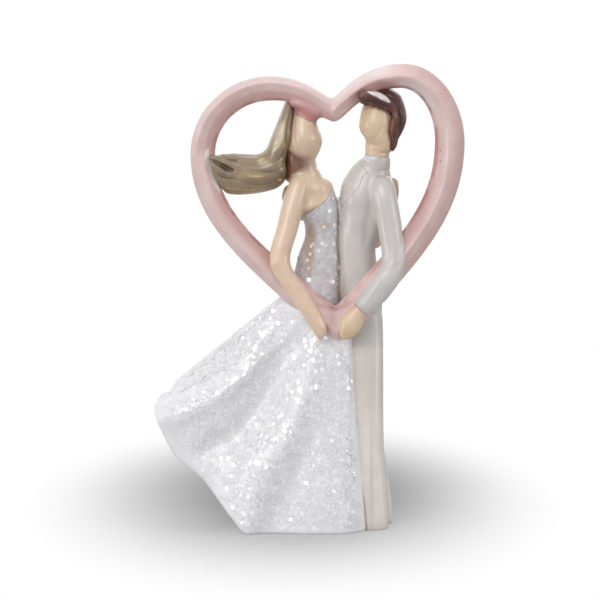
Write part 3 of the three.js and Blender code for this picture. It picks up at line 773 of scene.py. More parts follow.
class Shader(Generic[Owner]):
    """The nodes of a material or a world under construction."""

    def __init__(self, owner: Owner) -> None:
        """Start from the main shader and the output that Blender adds.

        Args:
            owner: a new material or world.
        """
        owner.use_nodes = True
        self.owner = owner
        self.tree = owner.node_tree
        self.main = next(n for n in self.tree.nodes if n.type in ("BSDF_PRINCIPLED", "BACKGROUND"))
        self.output = next(n for n in self.tree.nodes if n.type.startswith("OUTPUT"))

    def add(self, kind: str, settings: dict[str, Any], inputs: dict[Any, Any]) -> bpy.types.Node:
        """Add any node.

        Args:
            kind: the node's type.
            settings: its properties, which are set first.
            inputs: values or links for its sockets, by name or place.

        Returns:
            The node.
        """
        node = self.tree.nodes.new(kind)
        for key, value in settings.items():
            setattr(node, key, value)
        for key, value in inputs.items():
            self.feed(node.inputs[key], value)
        return node

    def node(
        self, kind: str, settings: dict[str, Any], inputs: dict[Any, Any], output: Union[str, int] = 0
    ) -> Sock:
        """Add any node, as add does, and give one of its outputs."""
        return Sock(self, self.add(kind, settings, inputs).outputs[output])

    def feed(self, socket: bpy.types.NodeSocket, value: Any) -> None:
        """Link a socket or set its value."""
        if isinstance(value, Sock):
            self.tree.links.new(value.socket, socket)
        else:
            socket.default_value = value

    def coordinates(self) -> Sock:
        """Places on the object in metres."""
        return self.node("ShaderNodeTexCoord", {}, {}, "Object")

    def attribute(self, name: str) -> Sock:
        """A value painted on the mesh."""
        return self.node("ShaderNodeAttribute", {"attribute_name": name}, {}, "Fac")

    def vector(self, x: Value, y: Value, z: Value = 0.0) -> Sock:
        """Three values as one vector."""
        return self.node("ShaderNodeCombineXYZ", {}, {"X": x, "Y": y, "Z": z})

    def noise(
        self, scale: float, detail: float = 3.0, vector: Optional[Sock] = None, rough: float = 0.55
    ) -> Sock:
        """Cloudy noise from 0 to 1, in features of 1 / scale."""
        places = vector or self.coordinates()
        inputs = {"Vector": places, "Scale": scale, "Detail": detail, "Roughness": rough}
        return self.node("ShaderNodeTexNoise", {}, inputs, "Fac")

    def specks(self, scale: float, size: float, share: float, vector: Optional[Sock] = None) -> Sock:
        """Scatter round specks.

        Args:
            scale: places for a speck in each unit of length.
            size: radius of a speck, as a share of the room between places.
            share: how many of the places have one.
            vector: where to read them, on the object unless given.

        Returns:
            1 inside a speck and 0 outside.
        """
        cells = self.add("ShaderNodeTexVoronoi", {}, {"Vector": vector or self.coordinates(), "Scale": scale})
        chance = self.node("ShaderNodeSeparateColor", {}, {"Color": Sock(self, cells.outputs["Color"])}, 0)
        inside = 1 - Sock(self, cells.outputs["Distance"]).between(0.6 * size, size)
        return inside * (1 - chance.between(share, share + 0.01))

    def mix(self, factor: Value, a: Any, b: Any, blend: str = "MIX") -> Sock:
        """Mix two colours."""
        settings = {"data_type": "RGBA", "blend_type": blend}
        return self.node("ShaderNodeMix", settings, {0: factor, 6: a, 7: b}, 2)

    def bump(self, height: Value, distance: float, strength: float = 1.0) -> Sock:
        """A normal raised by a height of 0 to 1 over a distance in metres."""
        inputs = {"Strength": strength, "Distance": distance, "Height": height}
        return self.node("ShaderNodeBump", {}, inputs)

    def finish(self, **inputs: Any) -> Owner:
        """Set the main shader's sockets.

        Args:
            **inputs: values or links by the sockets' names, with spaces written as underscores.

        Returns:
            The material or world.
        """
        for key, value in inputs.items():
            self.feed(self.main.inputs[key.replace("_", " ")], value)
        return self.owner


@dataclass(frozen=True)
class PaintFinish:
    """Hand-brushed paint on cast resin under a clear coat.

    Attributes:
        name: name of the finish.
        colour: the paint.
        deep: the paint where it lies thick.
        wash: what has gathered in the creases, and the colour of painted shade.
        wash_strength: how strongly it shows.
        roughness: of the paint.
        coat: weight of the clear coat.
        brush: bump of the brush marks in metres.
    """

    name: str
    colour: Colour
    deep: Colour
    wash: Colour
    wash_strength: float = 0.6
    roughness: float = 0.42
    coat: float = 0.35
    brush: float = 0.00006

    def base(self, shader: Shader) -> Sock:
        """The paint's colour: cloudy, with a wash in the creases, stains and painted shade."""
        cloud = shader.noise(170, 4)
        fine = shader.noise(900, 2)
        thick = (cloud * 0.75 + fine * 0.25).between(0.36, 0.68)
        paint = shader.mix(thick, linear(self.colour), linear(self.deep))
        rag = 0.55 + 0.9 * shader.noise(420, 3)
        crease = (shader.attribute("crease") * rag).between(0.3, 1.0) * self.wash_strength
        stain_and_painted_shade = shader.attribute("stain_and_painted_shade") * (0.8 + 0.3 * shader.noise(420, 3))
        washed = shader.mix(crease.largest(stain_and_painted_shade), paint, linear(self.wash))
        return shader.mix(shader.attribute("glue").between(0.3, 0.8) * 0.8, washed, linear(GLUE_COLOUR))

    def height(self, shader: Shader) -> Sock:
        """Brush marks, casting waves and pinholes."""
        waves = shader.noise(240, 3)
        grain = shader.noise(1500, 2)
        return 0.75 * waves + 0.25 * grain - 0.25 * shader.specks(420, 0.1, 0.03)

    def material(self) -> bpy.types.Material:
        """Build the finish."""
        shader = Shader(bpy.data.materials.new(self.name + "_finish"))
        pits = shader.specks(420, 0.08, 0.03)
        colour = shader.mix(pits * 0.3, self.base(shader), linear(self.wash))
        rough = self.roughness - 0.06 + 0.14 * shader.noise(310, 3)
        return shader.finish(
            Base_Color=colour,
            Roughness=rough,
            Coat_Weight=self.coat,
            Coat_Roughness=0.16,
            Normal=shader.bump(self.height(shader), self.brush),
        )


@dataclass(frozen=True)
class StreakedFinish(PaintFinish):
    """Paint drawn along a bar with a stiff brush, with chips.

    Attributes:
        streak: the lighter colour of the bristle marks, which is also painted on as light where the shade is
            below 0.
        painted_shade: the deeper colour that is painted on as shade on the faces that lie in shade.
        chip: what shows where the paint is chipped.
    """

    streak: Colour = (240, 228, 228)
    painted_shade: Colour = (204, 152, 148)
    chip: Colour = (110, 80, 82)

    def strokes(self, shader: Shader) -> Sock:
        """Bristle marks along the bar."""
        along, around = shader.attribute("along"), shader.attribute("around")
        return shader.noise(1.0, 4, shader.vector(along * 0.07, around * 5.5, along * 0.02), 0.6)

    def base(self, shader: Shader) -> Sock:
        """The paint's colour with its streaks, its painted shade and its painted light."""
        # Painted shade where the shade attribute is above 0, and painted light, in the streak colour, where
        # it is below 0.
        painted_shade = shader.attribute("shade").between(0.0, 0.6) * (0.6 - 0.6 * shader.attribute("glue"))
        pale = shader.attribute("shade").between(0.0, -0.5) * 0.7
        paint = shader.mix(painted_shade, PaintFinish.base(self, shader), linear(self.painted_shade))
        paint = shader.mix(pale, paint, linear(self.streak))
        streaked = shader.mix(self.strokes(shader).between(0.5, 0.78) * 0.4, paint, linear(self.streak))
        edge = shader.attribute("inward").between(0.86, 0.99) * shader.noise(140, 2).between(0.42, 0.6)
        lined = shader.mix(edge * 0.6, streaked, linear(self.wash))
        chips = shader.specks(420, 0.16, 0.012)
        return shader.mix(chips * 0.7, lined, linear(self.chip))

    def height(self, shader: Shader) -> Sock:
        """Bristle marks over the casting's waves."""
        return 0.55 * self.strokes(shader) + 0.45 * PaintFinish.height(self, shader)


@dataclass(frozen=True)
class HairFinish(PaintFinish):
    """Sculpted hair: dark wash in the hollows, dry brushing on the strands and a painted highlight.

    Attributes:
        dry: the dry brush's colour.
        dry_share: how much of the hair it touches.
        strands: strands around the hair.
        highlight_colour: the pale colour of a painted highlight, where the clear coat would catch the light.
        glint: the short scratches of gilding.
    """

    dry: Colour = (196, 158, 104)
    dry_share: float = 0.5
    strands: float = 7.0
    highlight_colour: Colour = (206, 190, 160)
    glint: Colour = (236, 194, 130)

    def flow(self, shader: Shader) -> Sock:
        """Fine strands along the hair."""
        along, around = shader.attribute("along"), shader.attribute("around")
        wander = shader.noise(260, 2)
        return shader.noise(1.0, 3, shader.vector(along * 0.09, around * self.strands + wander * 1.6), 0.55)

    def base(self, shader: Shader) -> Sock:
        """Paint, wash and dry brushing."""
        paint = PaintFinish.base(self, shader)
        hollow = shader.attribute("hollow").between(0.15, 0.9)
        paint = shader.mix(hollow * 0.8, paint, linear(self.wash))
        flow = self.flow(shader)
        paint = shader.mix(flow.between(0.45, 0.3) * 0.12, paint, linear(self.wash))
        patches = shader.noise(190, 3)
        ragged = flow.between(0.5, 0.62) * patches.between(0.62 - 0.3 * self.dry_share, 0.7)
        paint = shader.mix(ragged * (1 - hollow) * 0.25, paint, linear(self.dry))
        along, around = shader.attribute("along"), shader.attribute("around")
        slanted = shader.vector(along * 0.5, around * 9.0 + along * 0.35)
        scratched = shader.specks(1.0, 0.2, 0.5 * self.dry_share, slanted)
        glint = scratched * shader.noise(120, 2).between(0.45, 0.6) * (1 - hollow)
        gilded = shader.attribute("gilt") * flow.between(0.4, 0.6)
        paint = shader.mix(glint.largest(gilded) * 0.95, paint, linear(self.glint))
        # Painted highlight along the SHINE strokes, in the highlight colour.
        painted_highlight = shader.attribute("painted_highlight") * (0.45 + 1.1 * flow)
        return shader.mix(painted_highlight.between(0.15, 1.0), paint, linear(self.highlight_colour))

    def height(self, shader: Shader) -> Sock:
        """Strands over the casting's waves."""
        return 0.35 * self.flow(shader) + 0.65 * shader.noise(300, 3)


@dataclass(frozen=True)
class GlitterFinish(PaintFinish):
    """White paint under clear coat full of round glitter flakes, each lying at its own tilt.

    Attributes:
        flake: diameter of a flake in metres.
        tilt: how far flakes tilt, as a slope.
        flake_dim, flake_bright: colours between which flakes vary.
        flake_rim: colour between flakes.
    """

    flake: float = 0.0015
    tilt: float = 0.05
    flake_dim: Colour = (242, 242, 245)
    flake_bright: Colour = (253, 253, 254)
    flake_rim: Colour = (206, 206, 212)

    def cells(self, shader: Shader) -> tuple[Sock, Sock, Sock]:
        """Lay the flakes that are in the paint.

        Args:
            shader: the material.

        Returns:
            Where flakes lie, a number of 0 to 1 for each flake, and the height of its tilted face.
        """
        spot = shader.coordinates()
        inputs = {"Vector": spot, "Scale": 1.0 / self.flake, "Randomness": 0.8}
        cells = shader.add("ShaderNodeTexVoronoi", {}, inputs)
        tint = Sock(shader, cells.outputs["Color"])
        mask = 1 - Sock(shader, cells.outputs["Distance"]).between(0.5, 0.68)
        chance = shader.node("ShaderNodeSeparateColor", {}, {"Color": tint}, 0)
        centre = Sock(shader, cells.outputs["Position"])
        less, dot = {"operation": "SUBTRACT"}, {"operation": "DOT_PRODUCT"}
        offset = shader.node("ShaderNodeVectorMath", less, {0: spot, 1: centre})
        lean = shader.node("ShaderNodeVectorMath", less, {0: tint, 1: (0.5, 0.5, 0.5)})
        slope = shader.node("ShaderNodeVectorMath", dot, {0: offset, 1: lean}, "Value")
        return mask, chance, slope * (2 * self.tilt) * mask

    def material(self) -> bpy.types.Material:
        """Build the finish."""
        shader = Shader(bpy.data.materials.new(self.name + "_finish"))
        flakes, chance, slope = self.cells(shader)
        clean = shader.attribute("plain")
        glittered = 1 - clean
        tone = shader.mix(chance, linear(self.flake_dim), linear(self.flake_bright))
        rimmed = shader.mix((1 - flakes) * 0.5, tone, linear(self.flake_rim))
        colour = shader.mix(glittered * 0.7, self.base(shader), rimmed)
        # Stains and painted shade in the wash colour.
        colour = shader.mix(shader.attribute("stain_and_painted_shade") * 0.6, colour, linear(self.wash))
        normal = shader.bump(slope * glittered + 0.00004 * shader.noise(300, 3), 1.0)
        return shader.finish(
            Base_Color=colour,
            Roughness=0.46 - 0.16 * glittered * chance,
            Coat_Weight=0.3,
            Coat_Roughness=0.12,
            Normal=normal,
        )


@dataclass(frozen=True)
class FlakeFinish:
    """The loose flakes that stand up from the coat and sparkle.

    Attributes:
        name: name of the finish.
        colour, dull: of the brightest and the dullest flakes.
        edge: of a flake's rim.
    """

    name: str = "glitter_flake"
    colour: Colour = (254, 254, 255)
    dull: Colour = (241, 241, 244)
    edge: Colour = (204, 204, 210)

    def material(self) -> bpy.types.Material:
        """Build the finish."""
        shader = Shader(bpy.data.materials.new(self.name + "_finish"))
        chance = shader.attribute("chance")
        face = shader.mix(chance.between(0.0, 0.5), linear(self.dull), linear(self.colour))
        rim = shader.attribute("rim").between(0.62, 0.95) * (0.5 - 0.42 * chance.between(0.2, 0.6))
        colour = shader.mix(rim, face, linear(self.edge))
        return shader.finish(
            Base_Color=colour,
            Metallic=0.85 * chance.between(0.45, 0.9),
            Roughness=0.42 - 0.2 * chance + 0.1 * shader.noise(900, 2),
            Coat_Weight=0.4,
            Normal=shader.bump(shader.noise(2500, 2), 0.00003),
        )


class Paint(Enum):
    """The topper's finishes."""

    HEART = StreakedFinish("heart_paint", (230, 202, 199), (221, 189, 185), (172, 104, 98), 0.5, 0.46, 0.4)
    BRIDE_SKIN = PaintFinish("bride_skin", (232, 206, 181), (224, 195, 168), (104, 60, 32), 0.45, 0.46, 0.8)
    GROOM_SKIN = PaintFinish("groom_skin", (228, 202, 172), (218, 189, 157), (140, 92, 62), 0.5, 0.46, 0.5)
    BRIDE_HAIR = HairFinish(
        "bride_hair", (158, 138, 110), (136, 116, 90), (70, 52, 38), 0.6, 0.4, 0.8, 0.0001
    )
    GROOM_HAIR = HairFinish(
        "groom_hair", (104, 62, 52), (78, 44, 37), (40, 22, 19), 0.4, 0.44, 0.22, 0.0001,
        dry=(142, 84, 58), dry_share=0.3, strands=5.0, highlight_colour=(240, 232, 229), glint=(168, 100, 66),
    )
    GOWN = GlitterFinish("gown", (243, 243, 245), (235, 235, 239), (166, 134, 98), 0.7, 0.45)
    # Painted shade: a darker copy of the gown's white and its flakes, for the bodice, which lies in the shade
    # of her arm.
    BODICE_IN_SHADE = GlitterFinish(
        "bodice", (218, 218, 221), (207, 207, 212), (186, 140, 96), 0.7, 0.45,
        flake_dim=(202, 202, 208), flake_bright=(228, 228, 232), flake_rim=(172, 172, 180),
    )
    SUIT = PaintFinish("suit", (213, 208, 205), (205, 199, 196), (150, 138, 122), 0.5, 0.44, 0.6)
    SHIRT = PaintFinish("shirt", (233, 236, 241), (224, 228, 235), (168, 168, 174), 0.4, 0.42, 0.8)
    TROUSERS = PaintFinish("trousers", (240, 234, 229), (232, 225, 219), (184, 170, 160), 0.5, 0.44, 0.7)


@dataclass(frozen=True)
class HeartBar:
    """The heart frame: two halves of ridged bar, mitred at the notch and at the tip.

    Attributes:
        depth: front to back.
        y: the bar's middle.
        notch: centre of the bar at the notch.
        tip: centre of the bar at the tip.
    """

    depth: float = 8.4
    y: float = -4.0
    notch: Flat = (-0.6, 124.3)
    tip: Flat = (0.6, 59.8)
    left_crest: Flat = (-19.2, 131.4)
    left_side: Flat = (-39.3, 112.0)
    right_crest: Flat = (19.8, 135.1)
    right_side: Flat = (33.9, 115.5)
    left_fullness: float = 0.445
    right_fullness: float = 0.48
    notch_width: float = 5.8
    crest_width: float = 7.2
    left_width: float = 7.4
    right_width: float = 8.9
    tip_width: float = 10.2

    def half(self, side: int) -> Limb:
        """One half of the bar, run on a little past its two mitres.

        Args:
            side: -1 for the bride's side and 1 for the groom's.

        Returns:
            The half as a body.
        """
        crest, flank = (self.left_crest, self.left_side) if side < 0 else (self.right_crest, self.right_side)
        fullness = self.left_fullness if side < 0 else self.right_fullness
        flank_width = self.left_width if side < 0 else self.right_width
        leans = (0.26, 0.42, 0.48, 0.16) if side < 0 else (0.16, -0.14, -0.08, 0.1)
        notch, tip = np.array(self.notch), np.array(self.tip)
        crest_at, flank_at = np.array(crest), np.array(flank)
        reach = abs(crest[0])
        fall = flank[1] - tip[1]
        from_notch = notch + [side * 0.34 * reach, 0.66 * (crest[1] - notch[1])]
        from_crest = crest_at + [0.55 * (flank[0] - crest[0]), 0]
        to_flank = flank_at + [0, 0.55 * (crest[1] - flank[1])]
        to_tip = np.array([fullness * flank[0], tip[1] + 0.34 * fall])
        runs = [
            (notch, from_notch, crest_at - [side * 0.4 * reach, 0], crest_at),
            (crest_at, from_crest, to_flank, flank_at),
            (flank_at, flank_at - [0, 0.42 * fall], to_tip, tip),
        ]
        widths = (self.notch_width, self.crest_width, flank_width, self.tip_width)
        stations: list[Station] = []
        for i, (p0, p1, p2, p3) in enumerate(runs):
            for t in np.linspace(0, 1, 13)[(1 if i else 0) :]:
                spot = (1 - t) ** 3 * p0 + 3 * (1 - t) ** 2 * t * p1 + 3 * (1 - t) * t**2 * p2 + t**3 * p3
                width = widths[i] + (widths[i + 1] - widths[i]) * (t**4 if i == 2 else t)
                lean = leans[i] + (leans[i + 1] - leans[i]) * t
                stations.append((spot[0], self.y, spot[1], width, self.depth, -side * lean))
        first, second = np.array(stations[0]), np.array(stations[1])
        last, before = np.array(stations[-1]), np.array(stations[-2])
        start = first + (first - second) / np.linalg.norm((first - second)[:3]) * [8, 8, 8, 0, 0, 0]
        end = last + (last - before) / np.linalg.norm((last - before)[:3]) * [9, 9, 9, 0, 0, 0]
        return Limb((tuple(start), *stations, tuple(end)), bluntness=60, power=1.15, samples=150)

    @cached_property
    def halves(self) -> tuple[Limb, Limb]:
        """Both halves."""
        return self.half(-1), self.half(1)

    @cached_property
    def bridge(self) -> Limb:
        """Web of resin that runs from the bar down on to the bride's head."""
        return Limb(
            (
                (-13.4, self.y + 0.8, 127.0, 2.4, 5.0),
                (-10.2, self.y + 0.8, 126.2, 3.0, 5.2),
                (-6.8, self.y + 0.6, 124.4, 3.6, 5.2),
                (-4.6, self.y + 0.6, 123.2, 2.8, 4.6),
            ),
            bluntness=3,
        )

    def mitre(self, points: Array) -> Array:
        """How far each point lies to the groom's side of the mitres."""
        share = (points[:, 2] - self.tip[1]) / (self.notch[1] - self.tip[1])
        return points[:, 0] - (self.tip[0] + share * (self.notch[0] - self.tip[0]))

    def distance(self, points: Array) -> Array:
        """Signed distance in millimetres, negative inside."""
        across = self.mitre(points)
        left = np.maximum(self.halves[0].distance(points), across - 0.3)
        right = np.maximum(self.halves[1].distance(points), -across - 0.3)
        value = smooth_union(smooth_union(left, right, 1.2), self.bridge.distance(points), 2.0)
        z = points[:, 2]
        low = np.where(z > 90, np.where(z < 126, self.notch[1] - 3.1, 0), self.tip[1] - 3.4)
        beside = np.maximum(np.abs(across) - 5, 0) ** 2
        return smooth_cut(value, low - z - beside, 2.2)

    def flow(self, points: Array) -> dict[str, Array]:
        """Measure how the paint runs on the bar, and where shade and light are painted on it.

        Args:
            points: rows of x, y, z in millimetres.

        Returns:
            Length along the bar, turn around it, how far it faces inward, and painted shade: above 0 a deeper
            colour painted on as shade, below 0 a paler one painted on as light.
        """
        left, right = (half.read(points) for half in self.halves)
        on_right = self.mitre(points) > 0
        inward = np.where(on_right, np.cos(right[2]), -np.cos(left[2]))
        # Painted shade and light: a deeper colour on faces that lie in shade (the left half's inner faces,
        # the right half's outer faces, its inner faces low down and over the groom's hair), and a paler
        # colour painted on as light on the arch's underside past his hair and faintly on the left half's
        # outer faces.
        shade_over_hair = fade(points[:, 2], 124, 129) * (1 - fade(points[:, 0], 13, 21))
        lit_arch_underside = fade(points[:, 2], 116, 128)
        flat = np.maximum(inward, 0.15 * inward)
        shade = np.where(on_right, inward * (shade_over_hair + np.where(inward > 0, 0.3 - 0.8 * lit_arch_underside, -0.42)), flat)
        return {
            "along": np.where(on_right, right[1] + 300, left[1]),
            "around": np.where(on_right, right[2], left[2]),
            "inward": inward,
            "shade": shade * fade(points[:, 2], 62, 88),
        }

    def box(self) -> tuple[Array, Array]:
        """Lowest and highest corners in millimetres."""
        return np.array([-44.0, -9.0, 53.0]), np.array([40.0, 1.0, 140.0])


@dataclass(frozen=True)
class Bride:
    """The bride: head, bare shoulders and arms, bodice and blown hair.

    Attributes:
        x: the neck across.
        y: the neck from front to back.
        hip, waist, bust, shoulder, neck, face, crown, elbow: heights.
    """

    x: float = -8.5
    y: float = 1.2
    hip: float = 68.5
    waist: float = 89.0
    bust: float = 95.5
    shoulder: float = 101.1
    neck: float = 107.5
    face: float = 117.1
    crown: float = 127.5
    elbow: float = 79.5
    elbow_x: float = -16.4
    sweep: float = 106.1
    sweep_tip: float = -37.1
    neckline: tuple[Flat, ...] = (
        (-20.0, 89.6), (-9.3, 93.6), (-5.5, 96.2), (-2.7, 98.4), (-1.7, 100.0), (-1.0, 101.6), (3.0, 103.4),
    )

    def head(self) -> Form:
        """Egg-shaped head on its neck, with a blank face."""
        x, y = self.x, self.y
        skull = Limb(
            (
                (x + 0.5, y - 2.0, 110.2, 4.6, 5.6),
                (x + 0.1, y - 2.2, 112.6, 7.8, 9.2),
                (x - 0.5, y - 2.4, self.face - 0.6, 9.6, 11.0),
                (x - 1.2, y - 2.2, 120.8, 8.4, 10.6),
                (x - 2.8, y - 1.4, self.crown - 2.0, 5.4, 6.8),
            ),
            bluntness=2.6,
        )
        throat = Limb(
            (
                (x - 0.6, y - 1.2, 101.0, 8.6, 7.8),
                (x - 0.4, y - 2.0, self.neck, 7.0, 7.4),
                (x - 0.6, y - 1.9, 111.0, 6.6, 7.4),
                (x - 0.8, y - 1.4, 115.0, 5.4, 6.0),
            ),
            bluntness=10,
        )
        nape = Limb(
            (
                (x - 4.2, y, 104.0, 6.0, 7.4),
                (x - 3.4, y - 1.6, 110.4, 6.2, 8.0),
                (x - 3.4, y - 0.6, 118.0, 5.0, 8.0),
            )
        )
        marks = (
            Dab(x + 3.7, y - 3.5, 115.8, 2.8, 0.35),
            Dab(x + 3.2, y - 4.4, 110.9, 1.9, -0.12),
            Dab(-14.4, -2.6, 108.6, 1.6, -0.6),
            Stroke(((-12.0, 123.0), (-12.2, 118.0), (-11.6, 113.6)), 0.5, -0.25),
            Stroke(((-15.0, 113.6), (-11.2, 110.7), (-8.0, 109.9), (-3.6, 111.4)), 1.0, -0.25),
            Dab(x - 0.6, y - 6.8, 115.4, 4.0, 0.5),
        )
        return Worked(Joined((skull, throat, nape), 2.4), marks)

    def torso(self) -> Form:
        """Trunk from the hips to the root of the neck."""
        x, y = self.x, self.y
        trunk = Limb(
            (
                (-6.0, y + 0.4, 59.5, 12.2, 8.8),
                (-5.8, y + 0.6, self.hip, 15.4, 12.0),
                (-5.0, y + 0.4, 78.8, 13.0, 10.8),
                (-4.2, y, self.waist, 10.6, 9.6),
                (-4.8, y - 0.4, self.bust, 11.2, 11.0),
                (x + 1.5, y - 0.6, self.shoulder, 13.0, 10.6),
                (x + 0.4, y - 0.8, 104.3, 9.8, 8.5),
                (x, y - 1.0, self.neck, 7.0),
            ),
            bluntness=8,
            samples=60,
        )
        marks = (
            Dab(-4.4, -4.2, 102.4, 2.6, 0.8),
            Dab(-7.8, -4.4, 95.6, 1.8, 0.6),
            Dab(-7.4, -4.6, 100.0, 2.4, -0.35),
            Dab(-5.5, -4.6, 90.5, 4.0, -0.4),
            Dab(-10.2, -1.5, 88.0, 4.2, -1.5),
        )
        return Worked(trunk, marks)

    def above_neckline(self) -> Form:
        """The bare part of the trunk."""
        return Worked(self.torso(), outline=(*self.neckline, (3.0, 120.0), (-20.0, 120.0)), rounding=0.1)

    def below_neckline(self) -> Form:
        """The bodice, which stands a little proud of the skin."""
        ridges = (
            Stroke(((-9.4, 93.9), (-5.6, 96.4), (-2.8, 98.6)), 0.5, 0.18),
            Stroke(((-6.6, 91.5), (-8.0, 84.0), (-9.4, 76.0)), 0.9, -0.25),
        )
        outline = (*self.neckline, (3.0, 58.0), (-20.0, 58.0))
        return Worked(Worked(self.torso(), ridges), outline=outline, rounding=0.25, grow=0.12)

    def near_arm(self) -> Form:
        """Arm bent at the elbow, its hand on the heart's tip."""
        x, y = self.x, self.y
        arm = Limb(
            (
                (x - 0.6, y - 2.6, self.shoulder + 5.0, 4.6),
                (x - 2.2, y - 4.2, self.shoulder + 1.4, 6.4),
                (x - 3.7, y - 5.2, self.shoulder - 3.4, 6.7),
                (-14.2, y - 6.6, 90.3, 6.2, 5.8),
                (self.elbow_x, y - 8.0, self.elbow, 6.0, 5.6),
                (-9.8, -8.4, 69.3, 5.3, 4.8),
                (-5.0, -9.2, 61.4, 4.5, 4.4),
                (-4.0, -9.0, 58.0, 3.6, 3.6),
            ),
            bluntness=7,
            samples=60,
        )
        marks = (
            Dab(-18.6, -8.5, 80.0, 1.6, 0.3),
            Dab(-15.2, -10.6, 77.6, 0.5, -0.18),
            Stroke(((-5.2, 64.5), (-3.6, 60.5), (-3.1, 58.4)), 0.45, -0.1),
        )
        return Worked(arm, marks)

    def far_arm(self) -> Form:
        """Arm that passes behind the groom, its hand on the back of the shoulder."""
        x, y = self.x, self.y
        return Limb(
            (
                (x + 2.6, y + 2.6, self.shoulder + 0.2, 5.0),
                (x + 6.4, y + 5.6, self.shoulder - 3.2, 5.2),
                (6.0, y + 7.6, 90.5, 5.2),
                (12.0, y + 7.0, 86.4, 5.6),
                (14.6, y + 7.2, 93.5, 4.8),
                (17.0, y + 5.0, 99.4, 4.4),
                (17.5, y + 3.6, 104.8, 3.4),
            ),
            bluntness=8,
            samples=60,
        )

    def hair_lock(self) -> Form:
        """Thick lock that falls beside the face."""
        x, y = self.x, self.y
        lock = Limb(
            (
                (x - 5.0, y - 0.6, self.crown + 0.4, 3.0, 8.6),
                (x - 6.0, y - 1.2, self.face + 6.0, 4.2, 12.0),
                (x - 7.7, y - 1.4, self.face - 1.0, 6.2, 13.4),
                (x - 9.5, y - 0.6, self.sweep + 4.0, 7.2, 11.6),
                (x - 10.6, y - 0.2, self.sweep + 0.4, 8.0, 10.0),
            ),
            bluntness=6,
        )
        marks = (
            Stroke(((-13.5, 124.4), (-14.2, 120.6), (-14.6, 117.0), (-14.2, 114.0)), 0.4, -0.35),
            Stroke(((-15.4, 121.0), (-16.6, 116.6), (-19.0, 113.4)), 0.5, -0.22),
            Stroke(((-13.6, 119.0), (-12.9, 115.6), (-13.6, 113.4)), 1.0, 0.8),
            Stroke(((-14.8, 114.6), (-15.8, 111.6), (-18.0, 109.4)), 0.5, -0.25),
        )
        return Worked(lock, marks)

    def hair_sweep(self) -> Form:
        """Hair that the wind carries out to the heart's side, in curling strands."""
        x, y, high, tip = self.x, self.y, self.sweep, self.sweep_tip
        mass = Limb(
            (
                (x - 6.6, y - 0.4, high + 0.6, 7.0, 9.0),
                (x - 9.9, y - 1.2, high + 0.4, 10.0, 10.4),
                (-25.0, y - 2.4, high, 11.8, 9.0),
                (tip + 6.2, y - 3.6, high + 0.2, 12.2, 8.0),
                (tip + 1.6, y - 6.0, high + 2.2, 9.0, 6.4),
                (tip - 0.6, y - 8.0, high + 4.4, 4.8, 4.0),
            ),
            bluntness=5,
            samples=60,
        )
        marks = (
            Stroke(
                ((-14.4, 112.5), (-17.6, 110.0), (-21.9, 108.9), (-26.5, 109.1), (-31.0, 110.4)), 0.6, -0.22
            ),
            Stroke(((-14.7, 109.0), (-17.3, 107.2), (-21.0, 106.7), (-25.0, 107.2)), 0.5, -0.3),
            Stroke(
                ((-14.4, 105.6), (-19.0, 103.6), (-23.3, 103.0), (-28.2, 104.0), (-33.0, 106.2)), 0.6, -0.25
            ),
            Stroke(((-20.0, 110.6), (-25.0, 110.4), (-30.0, 111.2)), 0.7, 0.2),
            Stroke(((-18.0, 105.2), (-24.0, 104.8), (-29.0, 105.8)), 0.9, 0.25),
            Stroke(((-37.4, 110.9), (-34.6, 109.2), (-31.4, 107.6)), 0.7, -0.8),
            Stroke(((-34.0, 109.0), (-31.8, 107.6), (-29.6, 107.0)), 0.8, -0.75),
            Stroke(((-32.6, 110.8), (-30.6, 110.2), (-28.4, 110.2)), 0.5, -0.4),
            Stroke(((-36.0, 106.8), (-33.0, 105.2), (-29.6, 104.6)), 0.5, -0.35),
            Stroke(((-36.6, 109.2), (-33.8, 107.2), (-31.8, 105.6)), 0.5, 0.4),
        )
        outline = (
            (-8.0, 94.0), (-8.0, 120.0), (-30.0, 114.0), (-36.4, 113.0),
            (-37.5, 112.2), (-37.0, 110.4), (-36.3, 108.1),
            (-35.2, 104.4), (-32.6, 100.0), (-27.0, 96.0),
        )
        return Worked(mass, marks, outline=outline, rounding=0.9)


